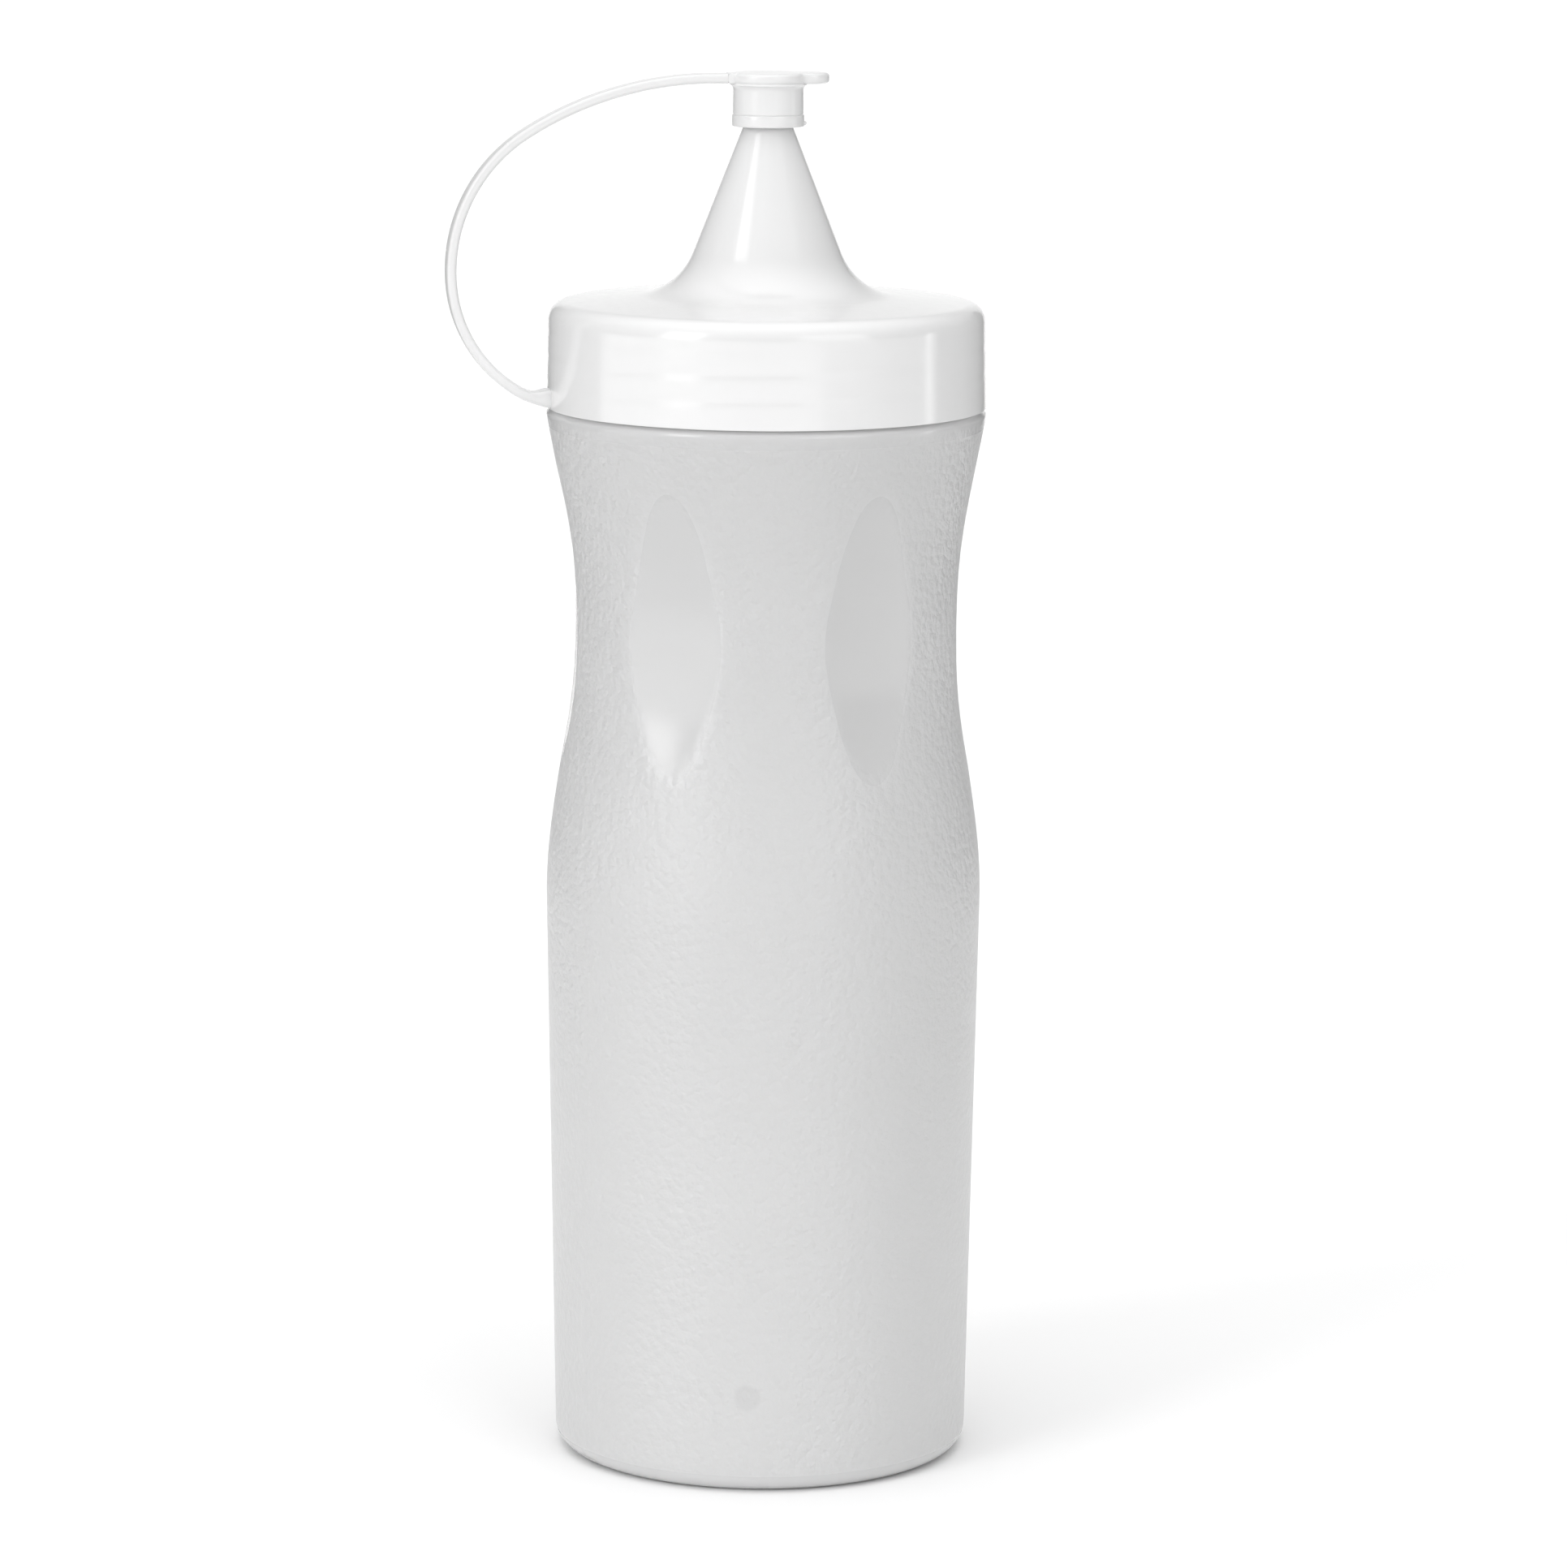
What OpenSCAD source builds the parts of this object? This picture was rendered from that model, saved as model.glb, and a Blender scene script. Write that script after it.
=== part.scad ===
// Wide-neck squeeze sauce bottle: a blown bottle with finger flutes, a screw lid with a cone nozzle,
// and a tip cap on a flexible strap. Millimetres, +Z up. The origin is the middle of the foot, on the
// surface that the bottle stands on. The strap leaves the lid towards -X.

/* [Bottle] */
// Radius of the bulge, the widest part of the lower body
bulge_r = 42.4; // [36:0.2:52]
// Height of the bulge
bulge_z = 111; // [90:1:120]
// Radius of the waist
waist_r = 38; // [31:0.2:40]
// Height at which the waist starts
waist_low_z = 156; // [140:1:166]
// Height at which the waist ends and the flare to the collar starts
waist_high_z = 172; // [167:1:180]
// Radius of the lower body just above its foot
heel_r = 40.5; // [34:0.1:50]
// Rounding between the lower body and the foot
heel_round = 4.5; // [3:0.5:6]
// Width of the flat foot ring that the bottle stands on
foot_ring_w = 2.6; // [1.5:0.1:4]
// How far the middle of the base is pushed up
push_up = 4; // [2:0.5:7]
// Wall of the blown body
wall = 1.3; // [0.9:0.1:2]
// How far round a cosine the flare runs, in degrees
flare_turn = 115; // [95:1:150]

/* [Finger flutes] */
// Number of flutes round the waist
flute_count = 6; // [4:1:8]
// Depth of a flute at the waist
flute_depth = 1.8; // [1:0.1:3.2]
// Radius of the rounded tool that forms a flute
flute_tool_r = 108; // [50:1:110]
// Height of the middle of the flutes
flute_z = 164; // [150:0.5:172]
// Direction of the first flute, seen from above, from +X
flute_turn = -7.5; // [-30:0.5:30]

/* [Collar and neck] */
// Height of the collar's sharp lower edge
collar_z = 204.7; // [180:0.1:250]
// Radius of the collar, and of the lid's rim above it
collar_r = 42.5; // [38:0.1:52]
// Height of the collar's upright rim
collar_rim_h = 0.5; // [0.3:0.1:1]
// Slope from the rim up to the shoulder under the lid, the same up and inwards
collar_slope = 1; // [0.5:0.1:2]
// Height of the neck above the shoulder
neck_h = 17.6; // [14:0.1:21]
// Wall of the neck and thickness of the shoulder
neck_wall = 1.6; // [1.2:0.1:2.2]

/* [Thread] */
// Rise of the thread in one turn
thread_pitch = 5.08; // [4:0.01:6.2]
// Turns of thread on the neck, and in the lid
thread_turns = 1.25; // [1:0.05:1.5]
// Height of the neck's thread above its root
neck_thread_h = 1.7; // [1.2:0.1:2]
// Height of the lid's thread above its root
lid_thread_h = 2; // [1.4:0.1:2.2]
// Width of both threads at the root
thread_root_w = 2.5; // [2:0.1:2.8]
// Width of both threads at the crest
thread_crest_w = 1; // [0.6:0.1:1.4]
// Height of the neck thread's start above the shoulder
thread_start_h = 5.8; // [5:0.1:7]
// Gap along the axis between the flanks that bear on each other
thread_gap = 0.35; // [0.25:0.05:0.5]

/* [Lid] */
// Gap between the collar's shoulder and the lid's rim
lid_gap = 0.3; // [0.2:0.1:0.6]
// Radial gap between the neck thread's crest and the lid's skirt
lid_side_gap = 0.8; // [0.4:0.1:1.2]
// Wall of the lid's skirt and top
lid_wall = 1.5; // [1.2:0.1:2]
// Draft of the skirt, on its radius, from its rim to its rounded edge
skirt_draft = 0.3; // [0:0.1:0.8]
// Rounding of the lid's upper edge
lid_round = 3.6; // [2:0.1:5]
// Slope of the lid's top, in degrees
lid_top_slope = 5; // [1:0.5:8]
// Thickness of the seal ring
seal_t = 1.2; // [0.8:0.1:2]
// How far the seal ring stands inside the neck's bore
seal_overhang = 0.4; // [0.2:0.1:1]
// Gap round the outside of the seal ring
seal_side_gap = 0.4; // [0.3:0.1:0.8]

/* [Nozzle] */
// Outside radius of the nozzle's mouth
tip_r = 2.2; // [1.9:0.1:3]
// Radius of the opening in the nozzle
orifice_r = 1.3; // [0.8:0.1:1.5]
// Half angle of the nozzle's cone, in degrees
cone_angle = 21.3; // [16:0.1:25]
// Height of the cone above its blend into the lid's top
cone_h = 31; // [24:0.5:40]
// Radius of the blend between the cone and the lid's top
cone_blend_r = 13; // [8:0.5:16]

/* [Tip cap and strap] */
// Gap between the tip cap's mouth and the nozzle's cone
cap_mouth_gap = 0.64; // [0.4:0.01:1]
// Wall of the tip cap
cap_wall = 1.35; // [1:0.05:1.7]
// Depth of the tip cap's cup
cap_depth = 8.2; // [6:0.1:10]
// Height of the thicker band at the cap's mouth
cap_band_h = 2.3; // [1.5:0.1:3]
// How far the band stands proud of the cap's wall
cap_band_proud = 0.15; // [0.05:0.05:0.3]
// Gap between the nozzle's mouth and the cup's ceiling
cap_gap = 1.5; // [1:0.1:3]
// How far the plug in the cap reaches into the opening
plug_reach = 1.2; // [0.5:0.1:1.5]
// Radial gap between the plug's root and the opening
plug_gap = 0.4; // [0.3:0.05:0.6]
// How far the cap's top disc stands out past its wall
disc_rim = 0.5; // [0.2:0.1:1.5]
// How far the thumb tab stands out past the disc
tab_out = 4.5; // [3:0.1:7]
// Width of the thumb tab
tab_w = 8; // [5:0.1:10]
// Width of the strap
strap_w = 5; // [3.5:0.1:6]
// Thickness of the strap, and of the cap's disc
strap_t = 2; // [1.6:0.1:2.4]
// Height of the strap's lower face above the lid's rim
strap_lift = 1.1; // [0.8:0.1:3]
// Number of links that stand for the flexing length of the strap
link_count = 8; // [8:1:8]
// How far the rounded end of a link lies inside the strap's faces
knuckle_inset = 0.08; // [0.05:0.01:0.12]
// Gap between the rounded end of a link and its socket
link_gap = 0.18; // [0.1:0.01:0.2]

/* [Hidden] */

// --- Resolution, and small overlaps that join shapes
round_fn = 120;
profile_steps = 10;
corner_steps = 5;
link_steps = 6;
thread_steps = 36;   // stations in one turn of thread
sink = 0.4;          // depth that a joined shape is sunk into its neighbour
through = 1;         // length that a cutter runs past a face

// --- Bottle
heel_centre_r = heel_r - heel_round;
foot_inner_r = heel_centre_r - foot_ring_w;
push_shoulder_r = foot_inner_r * 0.65;
push_shoulder_z = push_up * 0.8;
flute_centre_r = waist_r - flute_depth + flute_tool_r;
seam_turn = flute_turn + 180 / flute_count + 180;   // the mould parts midway between two flutes
seam_ridge = [24, 1.6, 0.8];                        // pinched seam under the base
seam_lug = [2.4, 4, 1];                             // trimmed end of the seam at the heel
seam_lug_proud = 0.3;
seam_lug_z = 1.2;

// --- Collar and neck
shoulder_z = collar_z + collar_rim_h + collar_slope;
neck_top_z = shoulder_z + neck_h;
neck_r = collar_r - skirt_draft - lid_wall - lid_side_gap - neck_thread_h; // at the thread's root
neck_bore_r = neck_r - neck_wall;
inner_shoulder_z = shoulder_z - neck_wall;

// --- Lid, from its rim up
lid_z = shoulder_z + lid_gap;
lid_bore_r = neck_r + neck_thread_h + lid_side_gap;
skirt_top_r = lid_bore_r + lid_wall;
skirt_rim_r = skirt_top_r + skirt_draft;
ceiling_z = neck_top_z + seal_t;
seal_bore_r = neck_bore_r - seal_overhang;
edge_turn = 90 - lid_top_slope;                     // how far the rounded edge turns
edge_r = skirt_top_r - lid_round * (1 - cos(edge_turn));
edge_z = ceiling_z + lid_wall;
skirt_top_z = edge_z - lid_round * sin(edge_turn);
blend_run = cone_blend_r * (cos(cone_angle) - sin(lid_top_slope));
blend_rise = cone_blend_r * (cos(lid_top_slope) - sin(cone_angle));
blend_r = tip_r + cone_h * tan(cone_angle) + blend_run;
blend_z = edge_z + (edge_r - blend_r) * tan(lid_top_slope);
tip_z = blend_z + blend_rise + cone_h;
cone_wall_across = lid_wall / cos(cone_angle);
orifice_z = tip_z - (orifice_r + cone_wall_across - tip_r) / tan(cone_angle);

// --- Thread
neck_thread_z = shoulder_z + thread_start_h;
lid_crest_r = lid_bore_r - lid_thread_h;
neck_thread_narrows = (thread_root_w - thread_crest_w) * (lid_crest_r - neck_r) / neck_thread_h;
neck_thread_w = thread_root_w - neck_thread_narrows; // where the lid's crest faces it
lid_thread_z = neck_thread_z - (neck_thread_w + thread_crest_w) / 2 - thread_gap;
thread_fade = 0.12;                                  // turns over which a thread's end fades out

// --- Tip cap
cap_ceiling_z = tip_z + cap_gap;
cap_mouth_z = cap_ceiling_z - cap_depth;
cap_bore_r = tip_r + (cap_depth - cap_gap) * tan(cone_angle) + cap_mouth_gap;
cap_r = cap_bore_r + cap_wall;
disc_r = cap_r + disc_rim;
tab_reach = disc_r + tab_out;
plug_root_r = orifice_r - plug_gap;
plug_end_r = plug_root_r * 0.6;

// --- Strap: a lead, four arcs that turn it right over, and a tail. The shape of the arcs, each
// [radius, degrees], is fixed. Their scale follows the height that the strap has to climb.
strap_arcs = [[9, 30], [26.5, 55], [31, 63], [68, 32]];
knuckle_r = strap_t / 2 - knuckle_inset;
root_cover = 2.4;    // from the skirt to the first hinge
tail_cover = 2;      // from the last hinge to the cap's disc
least_lead = lid_wall / 2 + 1.2;
least_tail = 3;
strap_start = [-(skirt_rim_r - lid_wall / 2), lid_z + strap_lift + strap_t / 2];
arcs_span = sum_points([for (i = [0 : len(strap_arcs) - 1]) arc_step(i)]);
strap_scale = (cap_ceiling_z + strap_t / 2 - strap_start[1]) / arcs_span[1];
spare = -disc_r - strap_start[0] - strap_scale * arcs_span[0];
strap_lead = max(least_lead, least_tail - spare);
strap_tail = spare + strap_lead;
arc_lengths = [for (a = strap_arcs) strap_scale * a[0] * a[1] * PI / 180];
run_lengths = concat([strap_lead], arc_lengths, [strap_tail]);
run_turns = concat([0], [for (a = strap_arcs) a[1]], [0]);
strap_length = sum_first(run_lengths, len(run_lengths));
first_hinge = lid_wall / 2 + root_cover;
link_length = (strap_length - tail_cover - first_hinge) / link_count;

// Sums of a list's points, and of its first n numbers
function sum_points(list, i = 0) = i == len(list) ? [0, 0] : list[i] + sum_points(list, i + 1);
function sum_first(list, n) = n == 0 ? 0 : list[n - 1] + sum_first(list, n - 1);
// Step made by a clockwise arc of a radius, from one heading to another, in degrees
function arc_move(radius, a, b) = radius * [sin(a) - sin(b), cos(b) - cos(a)];
function heading_before(i) = 180 - sum_first([for (a = strap_arcs) a[1]], i);
function arc_step(i) = arc_move(strap_arcs[i][0], heading_before(i), heading_before(i + 1));
// Step made along one run of the strap, straight or curved
function run_step(heading, length, turn) = turn == 0
    ? length * [cos(heading), sin(heading)]
    : arc_move(length / turn * 180 / PI, heading, heading - turn);
// Point on the strap's centre line at a length along it, as [[x, z], heading]
function strap_at(s, i = 0, point = strap_start, heading = 180) =
    s <= run_lengths[i] || i == len(run_lengths) - 1
    ? let (turn = run_turns[i] * s / run_lengths[i])
        [point + run_step(heading, s, turn), heading - turn]
    : strap_at(
        s - run_lengths[i],
        i + 1,
        point + run_step(heading, run_lengths[i], run_turns[i]),
        heading - run_turns[i]
    );
function hinge_at(i) = first_hinge + i * link_length;

// Radius of the blown body at a height, from the heel to the collar
function body_r(z) =
    z < bulge_z ? heel_r + (bulge_r - heel_r) * (z - heel_round) / (bulge_z - heel_round)
    : z < waist_low_z ? waist_r + (bulge_r - waist_r) * (1 + cos(180 * rise(bulge_z, waist_low_z, z))) / 2
    : z < waist_high_z ? waist_r
    : waist_r + (collar_r - waist_r) * flare(rise(waist_high_z, collar_z, z));
function rise(low, high, z) = (z - low) / (high - low);
function flare(t) = (1 - cos(flare_turn * t)) / (1 - cos(flare_turn));
function steps_between(low, high, n) = [for (k = [1 : n]) low + (high - low) * k / n];
// Outline of the body below the collar, set in from the outside by a wall
function body_outline(inset) = concat(
    [
        [0, push_up + inset],
        [push_shoulder_r, push_shoulder_z + inset],
        [foot_inner_r, inset]
    ],
    [for (k = [0 : corner_steps]) let (a = -90 + 90 * k / corner_steps)
        [heel_centre_r, heel_round] + (heel_round - inset) * [cos(a), sin(a)]],
    [for (z = concat(
        [bulge_z],
        steps_between(bulge_z, waist_low_z, profile_steps),
        [waist_high_z],
        steps_between(waist_high_z, collar_z, profile_steps)
    )) if (inset == 0 || z < inner_shoulder_z - inset) [body_r(z) - inset, z]]
);
// Points of an arc about a centre, by the direction from it
function arc_points(centre, radius, a, b, n) =
    [for (k = [0 : n]) let (t = a + (b - a) * k / n) centre + radius * [cos(t), sin(t)]];

// A helical rib: right-handed, faded out at both ends. grow is 1 outwards, -1 inwards.
module thread_rib(root_r, height, z0, grow) {
    count = ceil(thread_turns * thread_steps);
    points = [for (i = [0 : count]) let (
        t = thread_turns * i / count,
        fade = min(1, t / thread_fade, (thread_turns - t) / thread_fade),
        crest = root_r + grow * (height * fade - sink * (1 - fade) / 2),
        base = root_r - grow * sink,
        z = z0 + thread_pitch * t
    ) each [for (p = [
        [base, -thread_root_w / 2],
        [crest, -thread_crest_w / 2],
        [crest, thread_crest_w / 2],
        [base, thread_root_w / 2]
    ]) [p[0] * cos(360 * t), p[0] * sin(360 * t), z + p[1]]]];
    sides = [for (i = [0 : count - 1], k = [0 : 3]) let (
        a = 4 * i + k,
        b = 4 * i + (k + 1) % 4
    ) each [[a, b, b + 4], [a, b + 4, a + 4]]];
    last = 4 * count;
    ends = [[0, 2, 1], [0, 3, 2], [last, last + 1, last + 2], [last, last + 2, last + 3]];
    faces = concat(sides, ends);
    polyhedron(points, grow < 0 ? [for (f = faces) [f[2], f[1], f[0]]] : faces);
}

// The strap between two lengths along it, as a flat outline seen from the front
module strap_outline(from, to) {
    stations = [for (k = [0 : link_steps]) strap_at(from + (to - from) * k / link_steps)];
    left = [for (s = stations) s[0] + strap_t / 2 * [cos(s[1] + 90), sin(s[1] + 90)]];
    right = [for (s = stations) s[0] - strap_t / 2 * [cos(s[1] + 90), sin(s[1] + 90)]];
    polygon(concat(left, [for (k = [link_steps : -1 : 0]) right[k]]));
}
module strap_knuckle(i) {
    translate(strap_at(hinge_at(i))[0]) circle(r = knuckle_r, $fn = 48);
}
module strap_socket(i) {
    translate(strap_at(hinge_at(i))[0]) circle(r = knuckle_r + link_gap, $fn = 48);
}
module as_strap() {
    translate([0, strap_w / 2, 0]) rotate([90, 0, 0]) linear_extrude(strap_w) children();
}

module flute_tools(grow) {
    for (k = [0 : flute_count - 1])
        rotate(flute_turn + 360 * k / flute_count)
            translate([flute_centre_r, 0, flute_z])
                sphere(r = flute_tool_r + grow, $fn = round_fn);
}

module bottle_outside() {
    rotate_extrude($fn = round_fn) polygon(concat(body_outline(0), [
        [collar_r, collar_z + collar_rim_h],
        [collar_r - collar_slope, shoulder_z],
        [neck_r, shoulder_z],
        [neck_r, neck_top_z],
        [0, neck_top_z]
    ]));
}

module bottle_inside() {
    rotate_extrude($fn = round_fn) polygon(concat(body_outline(wall), [
        [collar_r - wall - collar_slope, inner_shoulder_z],
        [neck_bore_r, inner_shoulder_z],
        [neck_bore_r, neck_top_z + through],
        [0, neck_top_z + through]
    ]));
}

module bottle() {
    color("gainsboro") {
        difference() {
            union() {
                difference() {
                    bottle_outside();
                    flute_tools(0);
                }
                thread_rib(neck_r, neck_thread_h, neck_thread_z, 1);
                rotate(seam_turn) seam_marks();
            }
            difference() {
                bottle_inside();
                flute_tools(wall);
            }
        }
    }
}

module seam_marks() {
    translate([0, 0, push_up - seam_ridge[2] / 2 + sink / 2])
        cube([seam_ridge[0], seam_ridge[1], seam_ridge[2] + sink], center = true);
    lug_r = heel_centre_r + heel_round * cos(asin(1 - (seam_lug_z + seam_lug[2] / 2) / heel_round));
    translate([lug_r + seam_lug_proud - seam_lug[0], -seam_lug[1] / 2, seam_lug_z]) cube(seam_lug);
}

module seal_ring() {
    color("whitesmoke") rotate_extrude($fn = round_fn)
        translate([seal_bore_r, neck_top_z])
            square([lid_bore_r - seal_side_gap - seal_bore_r, seal_t]);
}

module lid_outside() {
    edge_centre = [skirt_top_r - lid_round, skirt_top_z];
    rotate_extrude($fn = round_fn) polygon(concat(
        [[0, lid_z], [skirt_rim_r, lid_z]],
        arc_points(edge_centre, lid_round, 0, edge_turn, corner_steps),
        blend_points(0),
        [[tip_r, tip_z], [0, tip_z]]
    ));
}

// The blend's points, from the lid's top to the cone, with the surface set in by a wall
function blend_points(inset) = arc_points(
    [blend_r, blend_z] + cone_blend_r * [cos(edge_turn), sin(edge_turn)],
    cone_blend_r + inset,
    180 + edge_turn,
    180 + cone_angle,
    profile_steps
);

module lid_inside() {
    rotate_extrude($fn = round_fn) polygon(concat(
        [
            [0, lid_z - through],
            [lid_bore_r, lid_z - through],
            [lid_bore_r, ceiling_z],
            [seal_bore_r - through, ceiling_z]
        ],
        blend_points(lid_wall),
        [[orifice_r, orifice_z], [0, orifice_z]]
    ));
}

module lid() {
    color("white") {
        difference() {
            union() {
                lid_outside();
                as_strap() difference() {
                    strap_outline(0, hinge_at(0));
                    strap_socket(0);
                }
            }
            lid_inside();
            translate([0, 0, orifice_z - through])
                cylinder(r = orifice_r, h = tip_z - orifice_z + 2 * through, $fn = 48);
        }
        thread_rib(lid_bore_r, lid_thread_h, lid_thread_z, -1);
    }
}

module strap_link(i) {
    color("white") {
        as_strap() difference() {
            strap_outline(hinge_at(i - 1), hinge_at(i));
            strap_socket(i);
        }
        as_strap() strap_knuckle(i - 1);
    }
}

module tip_cap() {
    color("white") {
        as_strap() strap_outline(hinge_at(link_count), strap_length + sink);
        as_strap() strap_knuckle(link_count);
        translate([0, 0, cap_ceiling_z]) linear_extrude(strap_t) {
            circle(r = disc_r, $fn = round_fn);
            translate([-disc_r, -strap_w / 2]) square([disc_r, strap_w]);
            translate([0, -tab_w / 2]) square([tab_reach - tab_w / 2, tab_w]);
            translate([tab_reach - tab_w / 2, 0]) circle(d = tab_w, $fn = round_fn);
        }
        translate([0, 0, cap_mouth_z]) difference() {
            union() {
                cylinder(r = cap_r, h = cap_depth + sink, $fn = round_fn);
                cylinder(r = cap_r + cap_band_proud, h = cap_band_h, $fn = round_fn);
            }
            translate([0, 0, -through])
                cylinder(r = cap_bore_r, h = cap_depth + through, $fn = round_fn);
        }
        translate([0, 0, tip_z - plug_reach])
            cylinder(r1 = plug_end_r, r2 = plug_root_r, h = plug_reach + cap_gap + sink, $fn = 48);
    }
}

bottle();
seal_ring();
lid();
for (i = [1 : link_count])
    strap_link(i);
tip_cap();
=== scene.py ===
"""Looks of a wide-neck squeeze sauce bottle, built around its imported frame.

Everything is in metres in the frame's own axes: +Z up along the bottle, -X where the strap leaves the lid.
"""

import logging
import math
from dataclasses import dataclass, field
from enum import Enum
from typing import Iterable, Optional, Sequence

import bmesh
import bpy
import numpy as np
from mathutils import Matrix, Vector


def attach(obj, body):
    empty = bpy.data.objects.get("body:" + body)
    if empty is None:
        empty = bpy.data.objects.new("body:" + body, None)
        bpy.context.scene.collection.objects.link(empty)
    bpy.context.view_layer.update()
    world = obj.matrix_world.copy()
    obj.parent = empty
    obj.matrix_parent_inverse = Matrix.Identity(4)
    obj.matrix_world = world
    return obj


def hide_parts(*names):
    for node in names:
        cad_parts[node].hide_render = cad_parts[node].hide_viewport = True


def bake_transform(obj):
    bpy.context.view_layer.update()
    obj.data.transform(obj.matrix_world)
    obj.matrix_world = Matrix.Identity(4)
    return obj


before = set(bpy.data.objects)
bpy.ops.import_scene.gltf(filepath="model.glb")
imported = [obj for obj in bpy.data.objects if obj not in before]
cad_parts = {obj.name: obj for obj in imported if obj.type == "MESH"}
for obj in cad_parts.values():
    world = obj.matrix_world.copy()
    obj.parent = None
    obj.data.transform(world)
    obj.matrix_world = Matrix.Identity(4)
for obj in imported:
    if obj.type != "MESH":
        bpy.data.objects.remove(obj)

LOG = logging.getLogger("sauce_bottle")
MM = 0.001
POLE = 1e-7
GRAIN_FADE = (-0.25 * MM, 0.55 * MM)
Profile = list[tuple[float, float]]


class Slot(Enum):
    """The record's material slots."""

    BODY = "bottle_body"
    MOULDING = "lid_moulding"
    SEAL = "seal"


# --- Meshes ---------------------------------------------------------------------------------------


@dataclass
class Shell:
    """Points, faces and named point values of a mesh that is being made."""

    points: np.ndarray
    faces: list[tuple[int, ...]]
    marks: dict[str, np.ndarray] = field(default_factory=dict)

    def joined(self, others: Iterable["Shell"]) -> "Shell":
        """Puts other shells beside this one.

        Args:
            others: Shells to add, each closed on its own.

        Returns:
            One shell that holds them all. A value that a shell lacks is 0 on it.
        """
        every = [self, *others]
        names = {name for shell in every for name in shell.marks}
        faces: list[tuple[int, ...]] = []
        start = 0
        for shell in every:
            faces += [tuple(start + i for i in face) for face in shell.faces]
            start += len(shell.points)
        marks = {
            name: np.concatenate([s.marks.get(name, np.zeros(len(s.points))) for s in every])
            for name in names
        }
        return Shell(np.concatenate([s.points for s in every]), faces, marks)

    def turned(self, angle: float) -> "Shell":
        """The shell turned about +Z by an angle in radians."""
        c, s = math.cos(angle), math.sin(angle)
        rotation = np.array([[c, -s, 0.0], [s, c, 0.0], [0.0, 0.0, 1.0]])
        return Shell(self.points @ rotation.T, self.faces, self.marks)

    def to_object(self, name: str) -> bpy.types.Object:
        """Makes a scene object with the faces turned outwards.

        Args:
            name: Name of the object.

        Returns:
            The object, at the origin.
        """
        made = mesh_object(name, self.points.tolist(), [], self.faces)
        for mark, values in self.marks.items():
            layer = made.data.attributes.new(mark, "FLOAT", "POINT")
            layer.data.foreach_set("value", values.astype(np.float32))
        face_outwards(made.data)
        return made


def mesh_object(name: str, points: list, edges: list, faces: list) -> bpy.types.Object:
    """Makes a mesh object from plain lists and links it to the scene."""
    mesh = bpy.data.meshes.new(name)
    mesh.from_pydata(points, edges, faces)
    made = bpy.data.objects.new(name, mesh)
    bpy.context.scene.collection.objects.link(made)
    return made


def face_outwards(mesh: bpy.types.Mesh) -> None:
    """Turns the faces of a mesh's closed shells outwards."""
    work = bmesh.new()
    work.from_mesh(mesh)
    bmesh.ops.recalc_face_normals(work, faces=work.faces)
    work.to_mesh(mesh)
    work.free()


def soften(mesh: bpy.types.Mesh, crease: float) -> None:
    """Shades a mesh smooth, apart from its creases.

    Args:
        mesh: Mesh to change in place.
        crease: Angle in degrees past which an edge stays sharp.
    """
    mesh.polygons.foreach_set("use_smooth", np.ones(len(mesh.polygons), bool))
    mesh.set_sharp_from_angle(angle=math.radians(crease))
    mesh.update()


def revolve(
    profile: Profile,
    segments: int,
    loop: bool = False,
    marks: Optional[dict[str, Sequence[float]]] = None,
) -> Shell:
    """Turns a profile of (radius, height) round +Z.

    Args:
        profile: Points of the profile. A radius of 0 makes a pole.
        segments: Steps in one turn.
        loop: True if the profile's last point joins its first.
        marks: For each name, one value for each point of the profile.

    Returns:
        The closed shell.
    """
    turn = np.linspace(0.0, 2 * math.pi, segments, endpoint=False)
    rings, first, spread, total = [], [], [], 0
    for i, (radius, height) in enumerate(profile):
        first.append(total)
        if radius < POLE:
            rings.append(np.array([[0.0, 0.0, height]]))
        else:
            ring = [radius * np.cos(turn), radius * np.sin(turn), np.full(segments, height)]
            rings.append(np.stack(ring, 1))
        spread += [i] * len(rings[-1])
        total += len(rings[-1])
    faces: list[tuple[int, ...]] = []
    last = len(profile) if loop else len(profile) - 1
    for i in range(last):
        j = (i + 1) % len(profile)
        a, b = first[i], first[j]
        for k in range(segments):
            n = (k + 1) % segments
            if profile[i][0] < POLE:
                faces.append((a, b + k, b + n))
            elif profile[j][0] < POLE:
                faces.append((a + n, a + k, b))
            else:
                faces.append((a + k, b + k, b + n, a + n))
    values = {name: np.array(v, float)[spread] for name, v in (marks or {}).items()}
    return Shell(np.concatenate(rings), faces, values)


def bar(section: Sequence[tuple[float, float]], stations: Sequence[float]) -> Shell:
    """A straight closed bar along +X.

    Args:
        section: Its section as (y, z) points.
        stations: Places along +X, each with one ring of points.

    Returns:
        The bar.
    """
    ring = np.array(section, float)
    count = len(ring)
    points = np.concatenate(
        [np.column_stack([np.full(count, x), ring[:, 0], ring[:, 1]]) for x in stations]
    )
    faces: list[tuple[int, ...]] = []
    for i in range(len(stations) - 1):
        for k in range(count):
            n = (k + 1) % count
            a, b = i * count, (i + 1) * count
            faces.append((a + k, a + n, b + n, b + k))
    end = (len(stations) - 1) * count
    faces += [tuple(range(count - 1, -1, -1)), tuple(range(end, end + count))]
    return Shell(points, faces)


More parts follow.
